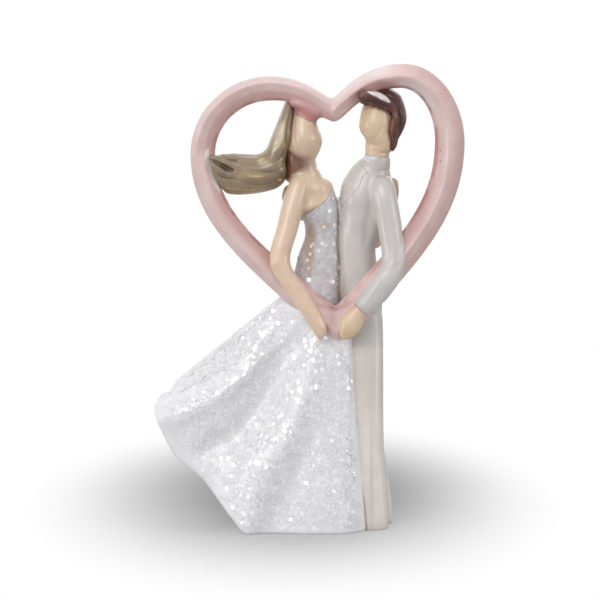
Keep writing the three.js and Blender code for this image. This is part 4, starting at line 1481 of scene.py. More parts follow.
@dataclass(frozen=True)
class Groom:
    """The groom: head with quiffed hair, suit and hands.

    Attributes:
        x: the neck across.
        y: the neck from front to back.
        hem, waist, chest, collar, face, crown, elbow: heights.
    """

    x: float = 12.6
    y: float = 1.2
    hem: float = 54.5
    waist: float = 84.5
    chest: float = 100.5
    collar: float = 110.5
    face: float = 120.5
    crown: float = 130.0
    elbow: float = 79.5
    hairline: tuple[Flat, ...] = (
        (6.4, 127.6), (8.8, 126.7), (10.0, 126.9), (10.9, 125.9), (12.0, 126.2), (12.7, 125.2), (13.8, 125.5),
        (14.8, 124.5), (15.6, 124.9), (16.7, 124.0), (16.9, 122.4), (16.2, 121.6),
        (16.1, 120.2), (15.8, 118.4), (16.4, 115.4), (16.3, 113.4),
        (17.2, 112.8), (18.4, 114.2), (26.0, 116.0),
        (26.0, 136.0), (6.0, 136.0),
    )

    def head(self) -> Form:
        """Egg-shaped head on its neck, with a blank face."""
        x, y = self.x, self.y
        skull = Limb(
            (
                (x - 1.6, y - 2.6, 115.0, 4.6, 5.6),
                (x - 0.9, y - 2.8, 117.2, 8.0, 8.8),
                (x - 0.4, y - 2.6, self.face + 0.4, 10.0, 10.8),
                (x + 0.1, y - 2.3, 125.2, 9.8, 10.6),
                (x + 1.0, y - 2.0, self.crown - 1.0, 6.6, 7.0),
            ),
            bluntness=3.0,
        )
        throat = Limb(
            (
                (x - 0.3, y - 0.8, 106.5, 7.0),
                (x - 0.1, y - 1.0, 112.0, 7.2),
                (x + 0.8, y - 1.0, 118.0, 8.4, 8.6),
            ),
            bluntness=10,
        )
        jaw = Limb(
            (
                (x + 1.6, y - 1.6, 112.6, 5.6, 6.4),
                (x + 1.8, y - 1.8, 118.0, 7.2, 9.4),
                (x + 1.6, y - 1.8, 124.0, 7.0, 9.6),
            )
        )
        marks = (
            Dab(x - 4.0, y - 4.4, 120.4, 3.0, 0.25),
            Stroke(((9.0, 116.6), (11.4, 116.6), (13.0, 118.4), (13.8, 121.0)), 0.55, -0.22),
            Stroke(((11.0, 113.4), (13.4, 112.2), (15.6, 112.6)), 0.5, -0.2),
        )
        return Worked(Joined((skull, throat, jaw), 1.4), marks)

    def hair(self) -> Form:
        """Swept-back hair with a thick quiff, cut to its hairline."""
        x, y = self.x, self.y
        mass = Limb(
            (
                (x + 4.5, y - 1.0, 112.2, 3.4, 5.8),
                (x + 2.7, y - 1.4, 116.5, 8.6, 10.6),
                (x + 2.0, y - 1.8, 123.0, 13.4, 13.8),
                (x + 0.6, y - 2.0, 128.0, 13.0, 13.0),
                (x - 0.2, y - 2.0, 131.9, 8.0, 8.0),
            ),
            bluntness=4,
        )
        quiff = Limb(
            (
                (6.6, -8.4, 129.0, 3.0, 3.0),
                (8.8, -7.9, 128.8, 3.8, 3.6),
                (11.6, -7.0, 128.6, 4.6, 4.2),
                (15.2, -6.2, 127.4, 4.4, 4.0),
                (18.2, -4.4, 124.6, 3.0, 3.0),
            ),
            bluntness=4,
        )
        marks = (
            Stroke(((7.4, 130.6), (10.5, 130.6), (14.0, 129.8), (17.2, 127.2), (19.0, 123.6)), 0.5, -0.45),
            Stroke(((8.6, 127.8), (11.6, 127.4), (14.8, 126.0), (17.0, 124.6)), 0.45, -0.35),
            Stroke(((10.4, 129.6), (13.8, 129.0), (16.6, 126.8)), 0.5, 0.25),
            Stroke(((16.6, 124.4), (16.4, 120.4), (16.1, 118.0), (16.8, 114.6)), 0.35, -0.45),
            Stroke(((18.5, 125.4), (19.4, 121.4), (18.6, 117.4), (17.6, 114.4)), 0.45, -0.4),
            Stroke(((12.8, 131.0), (16.2, 129.4), (18.4, 126.2), (19.0, 122.4), (18.4, 118.8)), 0.6, -0.25),
            Stroke(((16.4, 121.6), (16.6, 118.6), (17.0, 115.6)), 0.4, 0.3),
        )
        return Worked(Joined((mass, quiff), 1.2), marks, outline=self.hairline, rounding=0.6)

    def trunk(self) -> Form:
        """Fitted jacket with its shading folds, run on down inside the trousers."""
        x, y = self.x, self.y
        trunk = Limb(
            (
                (8.6, y, self.hem - 10.5, 6.0, 6.0),
                (8.6, y, self.hem + 1.5, 9.6, 9.0),
                (7.9, y, 69.5, 12.4, 10.2),
                (6.6, y, self.waist, 11.0, 10.0),
                (8.2, y, 92.5, 13.6, 11.0),
                (x - 3.1, y, self.chest, 15.6, 12.0),
                (x - 1.8, y - 0.2, 105.5, 13.0, 10.3),
                (x, y - 0.8, self.collar - 0.2, 8.6),
            ),
            bluntness=9,
            samples=60,
        )
        marks = (
            Dab(9.8, -5.4, 89.0, 3.4, -0.7),
            Stroke(((1.4, 95.8), (2.4, 88.0), (3.2, 78.0), (3.4, 66.0)), 0.9, 0.25),
            Stroke(((11.4, 99.0), (9.6, 92.0), (8.6, 84.0)), 1.4, -0.35),
            Dab(5.5, -4.6, 98.5, 3.6, 0.45),
        )
        return Worked(trunk, marks)

    @cached_property
    def suit(self) -> Form:
        """Jacket and trousers as one casting, before the paint divides them."""
        return Joined((self.trunk(), Joined((self.leg(-1), self.leg(1)), 1.0)), 2.4)

    def shirt_collar(self) -> Form:
        """Stand of the shirt collar."""
        x, y = self.x, self.y
        return Limb(
            (
                (x - 0.4, y - 0.8, 107.6, 7.6),
                (x - 0.4, y - 1.0, 109.6, 8.0),
                (x - 0.2, y - 1.0, 111.6, 7.6),
            ),
            bluntness=14,
        )

    def coat_collar(self) -> Form:
        """Fall of the jacket collar."""
        outline = (
            (7.2, 108.8), (8.6, 107.2), (8.6, 105.8), (11.0, 106.5),
            (13.6, 107.2), (16.6, 107.6), (16.6, 112.0),
            (14.6, 111.6), (11.0, 110.4), (9.2, 109.2),
        )
        ground = Joined((self.trunk(), self.near_sleeve()), 1.4)
        round_neck = Joined((ground, Worked(self.shirt_collar(), grow=0.25)), 0.8)
        return Worked(round_neck, outline=outline, rounding=0.05, grow=0.02)

    def lapel(self, near: bool) -> Form:
        """One lapel, lying on the jacket's front."""
        outline = (
            (-1.0, 95.0), (1.6, 96.0), (4.4, 99.4), (6.9, 101.9), (8.2, 105.4), (8.7, 106.1), (10.0, 106.5),
            (8.6, 108.0), (7.2, 109.4), (-1.0, 109.4),
        )
        limits = {"far": self.y - 0.6} if near else {"near": self.y + 0.6}
        front = Joined((self.trunk(), self.near_sleeve()), 1.4)
        return Worked(front, outline=outline, rounding=0.25, grow=0.17, **limits)

    def near_hand(self) -> Form:
        """Hand that lies beside the bride's on the heart's tip."""
        hand = Limb(
            (
                (9.4, -9.2, 69.2, 2.8),
                (7.4, -9.2, 66.4, 4.4, 3.8),
                (4.5, -9.3, 61.8, 6.6, 5.0),
                (2.3, -9.2, 57.6, 4.8, 4.0),
            ),
            bluntness=3.2,
        )
        return Worked(hand, (Stroke(((4.6, 60.6), (5.4, 62.2), (5.2, 63.6)), 0.3, -0.1),))

    def far_hand(self) -> Form:
        """Hand on the bride's back, below the hair."""
        return Limb(
            (
                (-10.9, 9.6, 95.5, 3.0),
                (-12.3, 8.2, 96.7, 3.8),
                (-13.5, 4.8, 99.1, 4.8, 4.2),
                (-13.9, 2.8, 102.5, 3.4, 3.2),
            ),
            bluntness=4,
        )

    def near_sleeve(self) -> Form:
        """Sleeve bent at the elbow, with a few soft creases."""
        x, y = self.x, self.y
        sleeve = Limb(
            (
                (x + 1.4, y - 3.2, self.chest + 4.0, 6.0),
                (x + 1.8, y - 5.4, self.chest, 7.4),
                (16.2, y - 6.6, 90.0, 7.2, 6.6),
                (17.3, y - 7.8, self.elbow, 7.3, 6.8),
                (13.2, -8.6, 72.6, 7.3, 6.2),
                (7.2, -9.2, 65.9, 5.9, 5.5),
            ),
            bluntness=11,
            samples=60,
        )
        marks = (
            Dab(14.6, -10.4, 80.6, 1.3, -0.3),
            Stroke(((20.2, 92.0), (19.2, 84.0), (18.6, 78.4)), 0.7, -0.2),
            Stroke(((13.4, 76.0), (11.0, 72.0), (8.8, 68.6)), 0.8, 0.2),
            Stroke(((19.4, 80.0), (16.4, 78.6), (14.2, 78.9)), 0.6, -0.16),
        )
        return Worked(sleeve, marks)

    def far_sleeve(self) -> Form:
        """Sleeve that passes behind the bride's back."""
        return Limb(
            (
                (10.0, 4.8, self.chest + 1.0, 6.6),
                (5.0, 10.6, 96.9, 6.8),
                (-4.2, 12.4, 94.7, 6.4),
                (-9.1, 11.2, 94.9, 6.3),
                (-12.1, 8.6, 96.5, 5.8),
            ),
            bluntness=11,
            samples=60,
        )

    def leg(self, side: int) -> Form:
        """One trouser leg with its pleats.

        Args:
            side: -1 for the near leg and 1 for the far one.

        Returns:
            The leg's form.
        """
        y = self.y
        leg_y = y + side * 4.5
        foot = 10.6 + side * 0.8
        leg = Limb(
            (
                (8.3, y + side * 2.0, 64.5, 10.6, 5.0),
                (8.7, y + side * 2.2, 56.5, 11.2, 6.0),
                (8.9, y + side * 2.8, 48.5, 11.1, 6.8),
                (9.6, leg_y, 27.2, 10.0, 8.4),
                (foot + 0.6, leg_y, 5.4, 11.0, 10.0),
                (foot + 0.8, leg_y, -2.7, 11.4, 10.0),
            ),
            bluntness=12,
        )
        marks = (
            Stroke(((14.0, 30.0), (14.6, 14.0), (15.6, -1.0)), 0.7, -0.22),
            Stroke(((10.2, 30.0), (10.3, 14.0), (10.9, -1.0)), 0.6, 0.3),
            Stroke(((13.6, 20.0), (14.4, 9.0), (15.4, -1.0)), 0.5, 0.35),
            Stroke(((8.8, 40.0), (8.6, 20.0), (9.2, -1.0)), 0.6, -0.2),
        )
        return Worked(leg, marks)


# Painted highlights on the hair: pale bands where the clear coat would catch the light.
SHINE: dict[str, tuple[Stroke, ...]] = {
    "bride_hair_lock": (Stroke(((-15.4, 122.4), (-16.2, 118.6), (-17.0, 115.4), (-19.0, 112.4)), 1.3, 1.5),),
    "bride_hair_sweep": (Stroke(((-19.6, 112.4), (-24.0, 111.4), (-28.0, 111.6)), 0.6, 0.5),),
    "groom_hair": (Stroke(((8.4, 131.0), (11.4, 129.9), (14.0, 128.6), (16.2, 127.0)), 0.75, 2.0),),
}


GILDING: dict[str, tuple[Stroke, ...]] = {
    "bride_hair_lock": (
        Stroke(((-15.2, 123.6), (-15.8, 121.0), (-15.4, 118.8)), 0.5, 0.8),
        Stroke(((-16.6, 117.6), (-15.6, 115.6), (-15.4, 113.6)), 0.4, 0.8),
    ),
    "bride_hair_sweep": (
        Stroke(((-23.6, 109.6), (-21.4, 110.6), (-18.6, 111.0)), 0.45, 1.0),
        Stroke(((-22.2, 108.6), (-19.8, 109.4), (-17.2, 110.6)), 0.35, 0.9),
        Stroke(((-27.4, 106.6), (-24.0, 105.6), (-20.6, 105.6)), 0.4, 0.9),
        Stroke(((-30.0, 108.4), (-28.4, 108.4), (-26.8, 108.0)), 0.4, 0.8),
        Stroke(((-17.8, 106.2), (-16.2, 104.2), (-15.8, 102.8)), 0.4, 0.9),
        Stroke(((-33.0, 102.0), (-26.0, 100.6), (-18.0, 102.2)), 1.0, 0.5),
    ),
    "groom_hair": (
        Stroke(((16.8, 124.2), (17.1, 120.6), (16.9, 117.0), (17.1, 114.4)), 0.6, 1.0),
        Stroke(((19.6, 127.0), (20.6, 122.6), (19.6, 118.8)), 0.6, 0.4),
    ),
}


@dataclass(frozen=True)
class Couple:
    """Everything that is sculpted: the couple and the heart round them."""

    bride: Bride = Bride()
    groom: Groom = Groom()
    heart: HeartBar = HeartBar()

    def pieces(self) -> list[Piece]:
        """The sculpted pieces in the order in which they are made."""
        b, g, heart = self.bride, self.groom, self.heart
        head, bare, bodice = b.head(), b.above_neckline(), b.below_neckline()
        near_arm, far_arm = b.near_arm(), b.far_arm()
        lock, sweep = b.hair_lock(), b.hair_sweep()
        g_head, g_hair, suit = g.head(), g.hair(), g.suit
        shirt, collar = g.shirt_collar(), g.coat_collar()
        lapels = {True: g.lapel(True), False: g.lapel(False)}
        near_hand, far_hand = g.near_hand(), g.far_hand()
        near_sleeve, far_sleeve = g.near_sleeve(), g.far_sleeve()

        trouser_lines_and_shade = (
            Stroke(((10.6, 40.0), (10.8, 12.0), (11.4, -8.0)), 0.5, 0.3),
            Stroke(((15.0, 24.0), (15.8, 9.0), (16.6, -8.0)), 0.4, 0.4),
            Stroke(((4.0, 60.0), (5.0, 40.0), (7.0, 20.0), (9.4, -8.0)), 0.9, 0.45),
            Stroke(((2.0, 0.0), (12.0, 0.0), (22.0, 0.0)), 1.4, 0.4),
            # Painted shade: the upper trousers darker, where the hands and the heart shade them.
            Dab(11.0, -5.0, 47.0, 15.0, 0.5),
        )

        seam_line = (
            (0.4, 98.0), (0.9, 92.0), (0.7, 86.0), (1.2, 80.0), (1.0, 73.0), (1.6, 67.0), (1.8, 60.0),
        )
        seam = (Stroke(seam_line, 0.45, -0.45),)
        seam_dirt = (
            Stroke(seam_line, 0.4, 0.45),
            Stroke(((1.0, 84.0), (1.1, 73.0), (1.6, 67.0), (1.8, 60.0)), 0.6, 0.7),
        )
        seam_glue = (
            Dab(1.2, -3.4, 83.2, 0.7, 1.0),
            Dab(0.6, -3.6, 78.8, 0.6, 0.9),
            Dab(0.2, -4.0, 66.4, 0.8, 0.9),
        )
        cuff = g.hem + 0.25
        near_half, far_half = Block(high=cuff, far=g.y), Block(high=cuff, near=g.y)

        def rest(*forms: Form) -> tuple[Meeting, ...]:
            """Neighbours that a piece only touches."""
            return tuple(Meeting(form, cuts=False) for form in forms)

        def soft(form: Form, soften: float, stains: bool = False, overlap: float = 0.5) -> Meeting:
            """A neighbour of the same casting that a piece runs into."""
            return Meeting(form, soften, overlap, True, stains)

        return [
            Piece(
                "heart_frame", "heart_paint", heart,
                (soft(head, 3.6, overlap=0.9), *rest(head, sweep, g_hair, near_hand)),
                voxel=0.45,
                # Marks in the wash colour: the strokes are painted shade, over the groom's hair, in the V
                # between the hands, down the right half's lower inner face and under the bar on to the
                # bride's head; the dabs are darker spots where the bar meets her head.
                stains=(
                    Dab(-8.6, -4.0, 124.2, 2.4, 0.5),
                    Dab(-4.9, -5.0, 121.9, 1.0, 0.9),
                    Stroke(((4.0, 127.0), (9.0, 131.6), (14.0, 132.6), (20.0, 131.4)), 1.3, 0.55),
                    Stroke(((-8.0, 68.4), (-2.0, 66.6), (1.0, 66.4), (6.0, 69.0)), 0.8, 0.45),
                    Stroke(((29.0, 105.0), (26.5, 97.0), (22.0, 88.0), (18.0, 82.0)), 2.0, 0.32),
                    Stroke(((-14.0, 127.0), (-9.6, 125.2), (-6.0, 123.2), (-4.0, 121.4)), 1.5, 0.9),
                ),
                glue=(
                    Stroke(
                        ((-37.4, 114.2), (-38.0, 112.0), (-37.2, 108.4), (-35.8, 104.2), (-33.4, 99.4)),
                        0.8,
                        1.5,
                    ),
                ),
            ),
            Piece(
                "bride_head", "bride_skin", head,
                (soft(heart, 3.6, True, -0.7), soft(bare, 2.4), soft(near_arm, 1.2), *rest(lock)),
                # Brown wash that is partly painted shade: the two strokes and the two larger dabs darken the
                # hollow between hair and neck and the neck under the chin, the faint wide dab is painted
                # shade over the face below the heart, and the small dab is a brown spot where the head meets
                # the heart.
                stains=(
                    Stroke(((-14.2, 113.6), (-13.8, 110.0), (-14.0, 106.0), (-14.6, 103.0)), 1.3, 1.0),
                    Stroke(((-18.0, 112.0), (-14.4, 110.4), (-11.4, 109.4), (-6.4, 109.2)), 3.0, 0.7),
                    Dab(-13.2, -4.0, 109.0, 2.9, 1.1),
                    Dab(-8.0, -5.0, 109.4, 3.0, 0.3),
                    Dab(-8.6, -5.6, 117.6, 5.0, 0.09),
                    Dab(-5.6, -4.0, 121.3, 1.0, 1.0),
                ),
            ),
            Piece(
                "bride_shoulders", "bride_skin", bare,
                (soft(head, 2.4), soft(near_arm, 1.4), soft(far_arm, 1.5), *rest(sweep)),
                stains=(
                    Stroke(((-9.6, 94.6), (-7.4, 94.9), (-5.4, 96.6)), 1.1, 0.5),
                    # Brown in the hollow beside the neck, partly painted shade.
                    Dab(-12.4, -3.0, 107.0, 2.2, 0.9),
                ),
            ),
            Piece(
                "bride_right_arm", "bride_skin", near_arm,
                (soft(bare, 1.4), soft(head, 1.2), *rest(heart)),
                # Brown in the hollow beside the neck, partly painted shade.
                stains=(Dab(-13.6, -2.6, 106.2, 1.8, 0.9),),
            ),
            Piece("bride_left_arm", "bride_skin", far_arm, (soft(bare, 1.5),)),
            Piece(
                "bride_bodice", "gown", bodice,
                (soft(suit, 2.0, True),),
                stains=(
                    *seam_dirt,
                    Stroke(((-7.0, 92.5), (-7.3, 85.0), (-7.7, 74.0)), 1.3, 0.8),
                    Stroke(((-4.6, 91.2), (-3.2, 91.0), (-1.6, 91.6)), 0.9, 0.5),
                    # Painted shade: a faint wide darkening over the bodice, which lies in the shade of her
                    # arm.
                    Dab(-5.0, -4.0, 84.0, 13.0, 0.1),
                ),
                marks=seam,
                glue=(*seam_glue, Stroke(((-9.4, 94.0), (-9.0, 90.6), (-8.8, 88.4)), 0.4, 0.9)),
                # The bodice takes the darker copy of the gown's white, which is painted shade.
                finish="bodice",
            ),
            Piece("bride_hair_lock", "bride_hair", lock, (soft(sweep, 3.4), *rest(head, heart))),
            Piece(
                "bride_hair_sweep", "bride_hair", sweep,
                (soft(lock, 3.4), *rest(head, near_arm, heart)),
                stains=(Dab(-15.6, -4.6, 104.6, 2.8, 0.8), Dab(-14.6, -4.6, 110.4, 1.6, 0.7)),
            ),
            Piece("groom_head", "groom_skin", g_head, rest(g_hair, shirt)),
            Piece("groom_hair", "groom_hair", g_hair, rest(g_head, heart)),
            Piece("groom_shirt_collar", "shirt", shirt, rest(g_head, collar)),
            Piece(
                "groom_jacket", "suit", suit,
                (soft(near_sleeve, 1.4), soft(bodice, 2.0, True)),
                stains=seam_dirt,
                block=Block(low=g.hem - 0.25),
                marks=seam,
                glue=(*seam_glue, Dab(11.6, -3.4, 88.4, 0.6, 0.9), Dab(11.3, -3.4, 86.0, 0.7, 0.9)),
            ),
            Piece("groom_collar", "suit", collar, rest(g_head), voxel=0.25),
            Piece("groom_left_lapel", "suit", lapels[True], rest(bodice), voxel=0.25),
            Piece("groom_right_lapel", "suit", lapels[False], rest(bodice), voxel=0.25),
            Piece("groom_left_sleeve", "suit", near_sleeve, (soft(suit, 1.4), *rest(near_hand))),
            Piece("groom_right_sleeve", "suit", far_sleeve, rest(far_hand, bodice, suit)),
            Piece("groom_left_hand", "groom_skin", near_hand, rest(near_sleeve, heart)),
            Piece("groom_right_hand", "groom_skin", far_hand),
            Piece("groom_left_leg", "trousers", suit, floor=0, stains=trouser_lines_and_shade, block=near_half),
            Piece("groom_right_leg", "trousers", suit, floor=0, stains=trouser_lines_and_shade, block=far_half),
        ]

    def flows(self) -> dict[str, Limb]:
        """The forms whose run brush marks and strands follow."""
        return {
            "bride_hair_lock": self.bride.hair_lock().base,
            "bride_hair_sweep": self.bride.hair_sweep().base,
            "groom_hair": self.groom.hair().base.forms[0],
        }

    def build(self, finishes: Finishes) -> dict[str, bpy.types.Object]:
        """Sculpt, dress and place every piece.

        Args:
            finishes: the materials by their names in the record.

        Returns:
            The objects by the names of the solids that they stand for.
        """
        flows = self.flows()
        made = {}
        for piece in self.pieces():
            surface = piece.surface()
            if piece.name == "heart_frame":
                surface.values.update(self.heart.flow(surface.points))
            if piece.name in flows:
                _, surface.values["along"], surface.values["around"] = flows[piece.name].read(surface.points)
                lifts = [mark.lift(surface.points) for mark in piece.form.marks]
                surface.values["hollow"] = np.clip(-sum(lifts) / 0.5, 0, 1)
                # Painted highlight along the SHINE strokes.
                surface.values["painted_highlight"] = painted(SHINE[piece.name], surface.points)
                surface.values["gilt"] = painted(GILDING[piece.name], surface.points)
            if piece.slot == "gown":
                surface.values["plain"] = surface.values["bare"] = np.full(len(surface.points), 0.1)
                surface.values["crest"] = np.full(len(surface.points), 0.4)
            finish = finishes[piece.finish or piece.slot]
            made[piece.name] = place(surface, piece.name + "_cast", finish, piece.slot, piece.name)
        return made


@dataclass(frozen=True)
class Fold:
    """One fold line of the skirt, from the waist to the hem.

    Attributes:
        x, z: where it meets the hem.
        front, back: depths of the front and back cloth there.
        sag: how far it hangs below a straight line.
    """

    x: float
    z: float
    front: float
    back: float
    sag: float = 0.0


@dataclass(frozen=True)
class Skirt:
    """The gown's skirt with its train swept to one side.

    Attributes:
        folds: fold lines from the train to the groom's side.
        drapes: ridges and hollows that run down the front cloth between them.
        waist_left, waist_right: ends of the waist line.
        columns, rows: fineness of the mesh.
    """

    folds: tuple[Fold, ...] = (
        Fold(-48.4, 43.2, 4.6, 6.4),
        Fold(-49.5, 40.8, 1.6, 9.0),
        Fold(-48.8, 38.7, -1.0, 10.0, 2.0),
        Fold(-51.6, 39.3, -4.6, 10.4, 8.0),
        Fold(-53.8, 36.9, -7.6, 10.8, 13.0),
        Fold(-53.0, 33.3, -9.4, 12.0, 12.0),
        Fold(-48.2, 23.1, -8.8, 13.0, 5.0),
        Fold(-39.1, 15.2, -9.4, 11.0, 1.0),
        Fold(-31.3, 5.3, -13.2, 13.0),
        Fold(-25.5, 0.0, -14.2, 14.0),
        Fold(-17.3, 0.0, -13.4, 12.0),
        Fold(-7.6, 0.0, -14.4, 14.0),
        Fold(2.4, 0.0, -14.0, 13.0),
        Fold(9.4, 0.0, -9.0, 11.0),
    )
    drapes: tuple[Stroke, ...] = (
        Stroke(
            (
                (-12.0, 78.0), (-18.6, 64.0), (-21.8, 56.0), (-26.0, 48.6),
                (-31.4, 42.6), (-39.3, 37.2), (-62.0, 29.0),
            ),
            4.0,
            1.0,
        ),
        Stroke(
            ((-8.0, 78.0), (-15.6, 58.0), (-19.0, 46.0), (-22.6, 37.2), (-28.3, 29.7), (-42.0, 22.0)),
            7.0,
            -4.2,
        ),
        Stroke(
            ((-2.0, 76.0), (-6.8, 48.0), (-11.4, 36.0), (-18.2, 24.4), (-24.6, 12.0), (-31.0, -14.0)),
            6.0,
            2.1,
        ),
        Stroke(
            ((-1.0, 64.0), (-3.6, 44.0), (-6.4, 31.0), (-10.6, 19.0), (-17.6, 5.0), (-27.0, -14.0)), 4.0, -0.3
        ),
    )
    waist_left: Flat = (-14.0, 71.3)
    waist_right: Flat = (5.4, 60.0)
    middle: float = 1.2
    hip_depth: float = 6.0
    wall: float = 1.6
    columns: int = 260
    rows: int = 120

    def across(self, share: Array) -> dict[str, Array]:
        """Run the fold lines' sizes smoothly from the train to the groom's side.

        Args:
            share: places between the two.

        Returns:
            The sizes there, by the names of a fold's fields.
        """
        result = {}
        for name in ("x", "z", "front", "back", "sag"):
            knots = np.array([[getattr(fold, name), 0.0, 0.0] for fold in self.folds])
            result[name] = spline(knots, share)[:, 0]
        result["z"] = np.maximum(result["z"], 0)
        return result

    def cloth(self, share: Array, drop: Array, side: int) -> Array:
        """Points of the front or back cloth.

        Args:
            share: place from the train to the groom's side.
            drop: place from the waist to the hem.
            side: -1 for the front and 1 for the back.

        Returns:
            Rows of x, y and z.
        """
        sizes = self.across(share)
        waist_x = self.waist_left[0] + share * (self.waist_right[0] - self.waist_left[0])
        waist_z = self.waist_left[1] + share * (self.waist_right[1] - self.waist_left[1])
        belly = 2 * drop * (1 - drop)
        x = waist_x + drop * (sizes["x"] - waist_x)
        z = waist_z + drop * (sizes["z"] - waist_z) - sizes["sag"] * belly
        hem = sizes["front"] if side < 0 else sizes["back"]
        hip = self.hip_depth * np.sqrt(np.sin(np.pi * np.clip(share, 0, 1)))
        waist = self.middle + side * (self.wall + hip)
        y = waist + (hem - waist) * drop**0.85
        if side < 0:
            y = y - self.relief(x, z, share, drop)
        return np.column_stack([x, y, z])

    def relief(self, x: Array, z: Array, share: Array, drop: Array) -> Array:
        """Measure how far the drapes and the rolled rim of the train bring the front cloth forward.

        Args:
            x: places across, in millimetres.
            z: heights, in millimetres.
            share: places from the train to the groom's side.
            drop: places from the waist to the hem.

        Returns:
            The relief in millimetres.
        """
        flat = np.column_stack([x, 0 * x, z])
        drapes = sum((drape.lift(flat) for drape in self.drapes), 0 * x)
        rim = np.exp(-(((drop - 0.965) / 0.02) ** 2)) * fade(share, 0.17, 0.24) * (1 - fade(share, 0.5, 0.62))
        ends = fade(drop, 0.0, 0.35) * fade(share, 0.0, 0.08) * (1 - fade(share, 0.93, 1.0))
        return 0.35 * rim + drapes * ends

    def surface(self) -> Surface:
        """Mesh both cloths, joined at the sides, the waist and the hem."""
        shares = np.linspace(0, 1, self.columns + 1)
        drops = np.linspace(0, 1, self.rows + 1)
        around = 2 * (self.columns + 1)
        rows = []
        for drop in drops:
            level = np.full(len(shares), drop)
            front, back = self.cloth(shares, level, -1), self.cloth(shares, level, 1)
            tuck = 0.45 * (1 - math.sqrt(max(0.0, 1 - max(0.0, (drop - 0.985) / 0.015) ** 2)))
            front[:, 1] += tuck
            back[:, 1] -= tuck
            rows.append(np.vstack([front, back[::-1]]))
        points = np.vstack(rows)
        index = np.arange(len(points)).reshape(self.rows + 1, around)
        right = np.roll(index, -1, axis=1)
        walls = np.stack([index[:-1], index[1:], right[1:], right[:-1]], -1).reshape(-1, 4)
        last = self.columns
        caps = []
        for row, flip in ((index[0], False), (index[-1], True)):
            one, two = row[: last + 1], row[::-1][: last + 1]
            quad = np.stack([one[:-1], one[1:], two[1:], two[:-1]], -1)
            caps.append(quad[:, ::-1] if flip else quad)
        surface = Surface(points, np.vstack([walls, *caps]))
        share = np.tile(np.concatenate([shares, shares[::-1]]), self.rows + 1)
        drop = np.repeat(drops, around)
        edge = fade(share, 0.985, 1.0)
        lip = np.exp(-(((share - 0.26) / 0.03) ** 2)) * fade(drop, 0.55, 0.9)
        surface.values["crease"] = np.maximum(edge, fade(drop, 0.99, 1.0) * 0.2)
        surface.values["stain_and_painted_shade"] = np.zeros(len(points))
        # Ridges of the front drapes, where more flakes are made bright as a painted highlight.
        ridges = sum((drape.lift(points) for drape in self.drapes[:3:2]), 0 * drop)
        surface.values["crest"] = np.clip(ridges / 2, 0, 1)
        train = fade(drop, 0.9, 0.96) * (1 - fade(share, 0.5, 0.64))
        side = 1 - fade(share, 0.015, 0.045)
        border = np.maximum(fade(share, 0.955, 0.985), fade(drop, 0.97, 0.985))
        border = np.maximum.reduce([0.9 * lip, train, border])
        surface.values["plain"] = np.maximum(border, 0.3 * side)
        surface.values["bare"] = np.maximum(border, side)
        surface.values["glue"] = 0 * drop
        return surface

    def build(self, finish: bpy.types.Material) -> bpy.types.Object:
        """Make, dress and place the skirt."""
        return place(self.surface(), "bride_skirt_cast", finish, "gown", "bride_skirt")


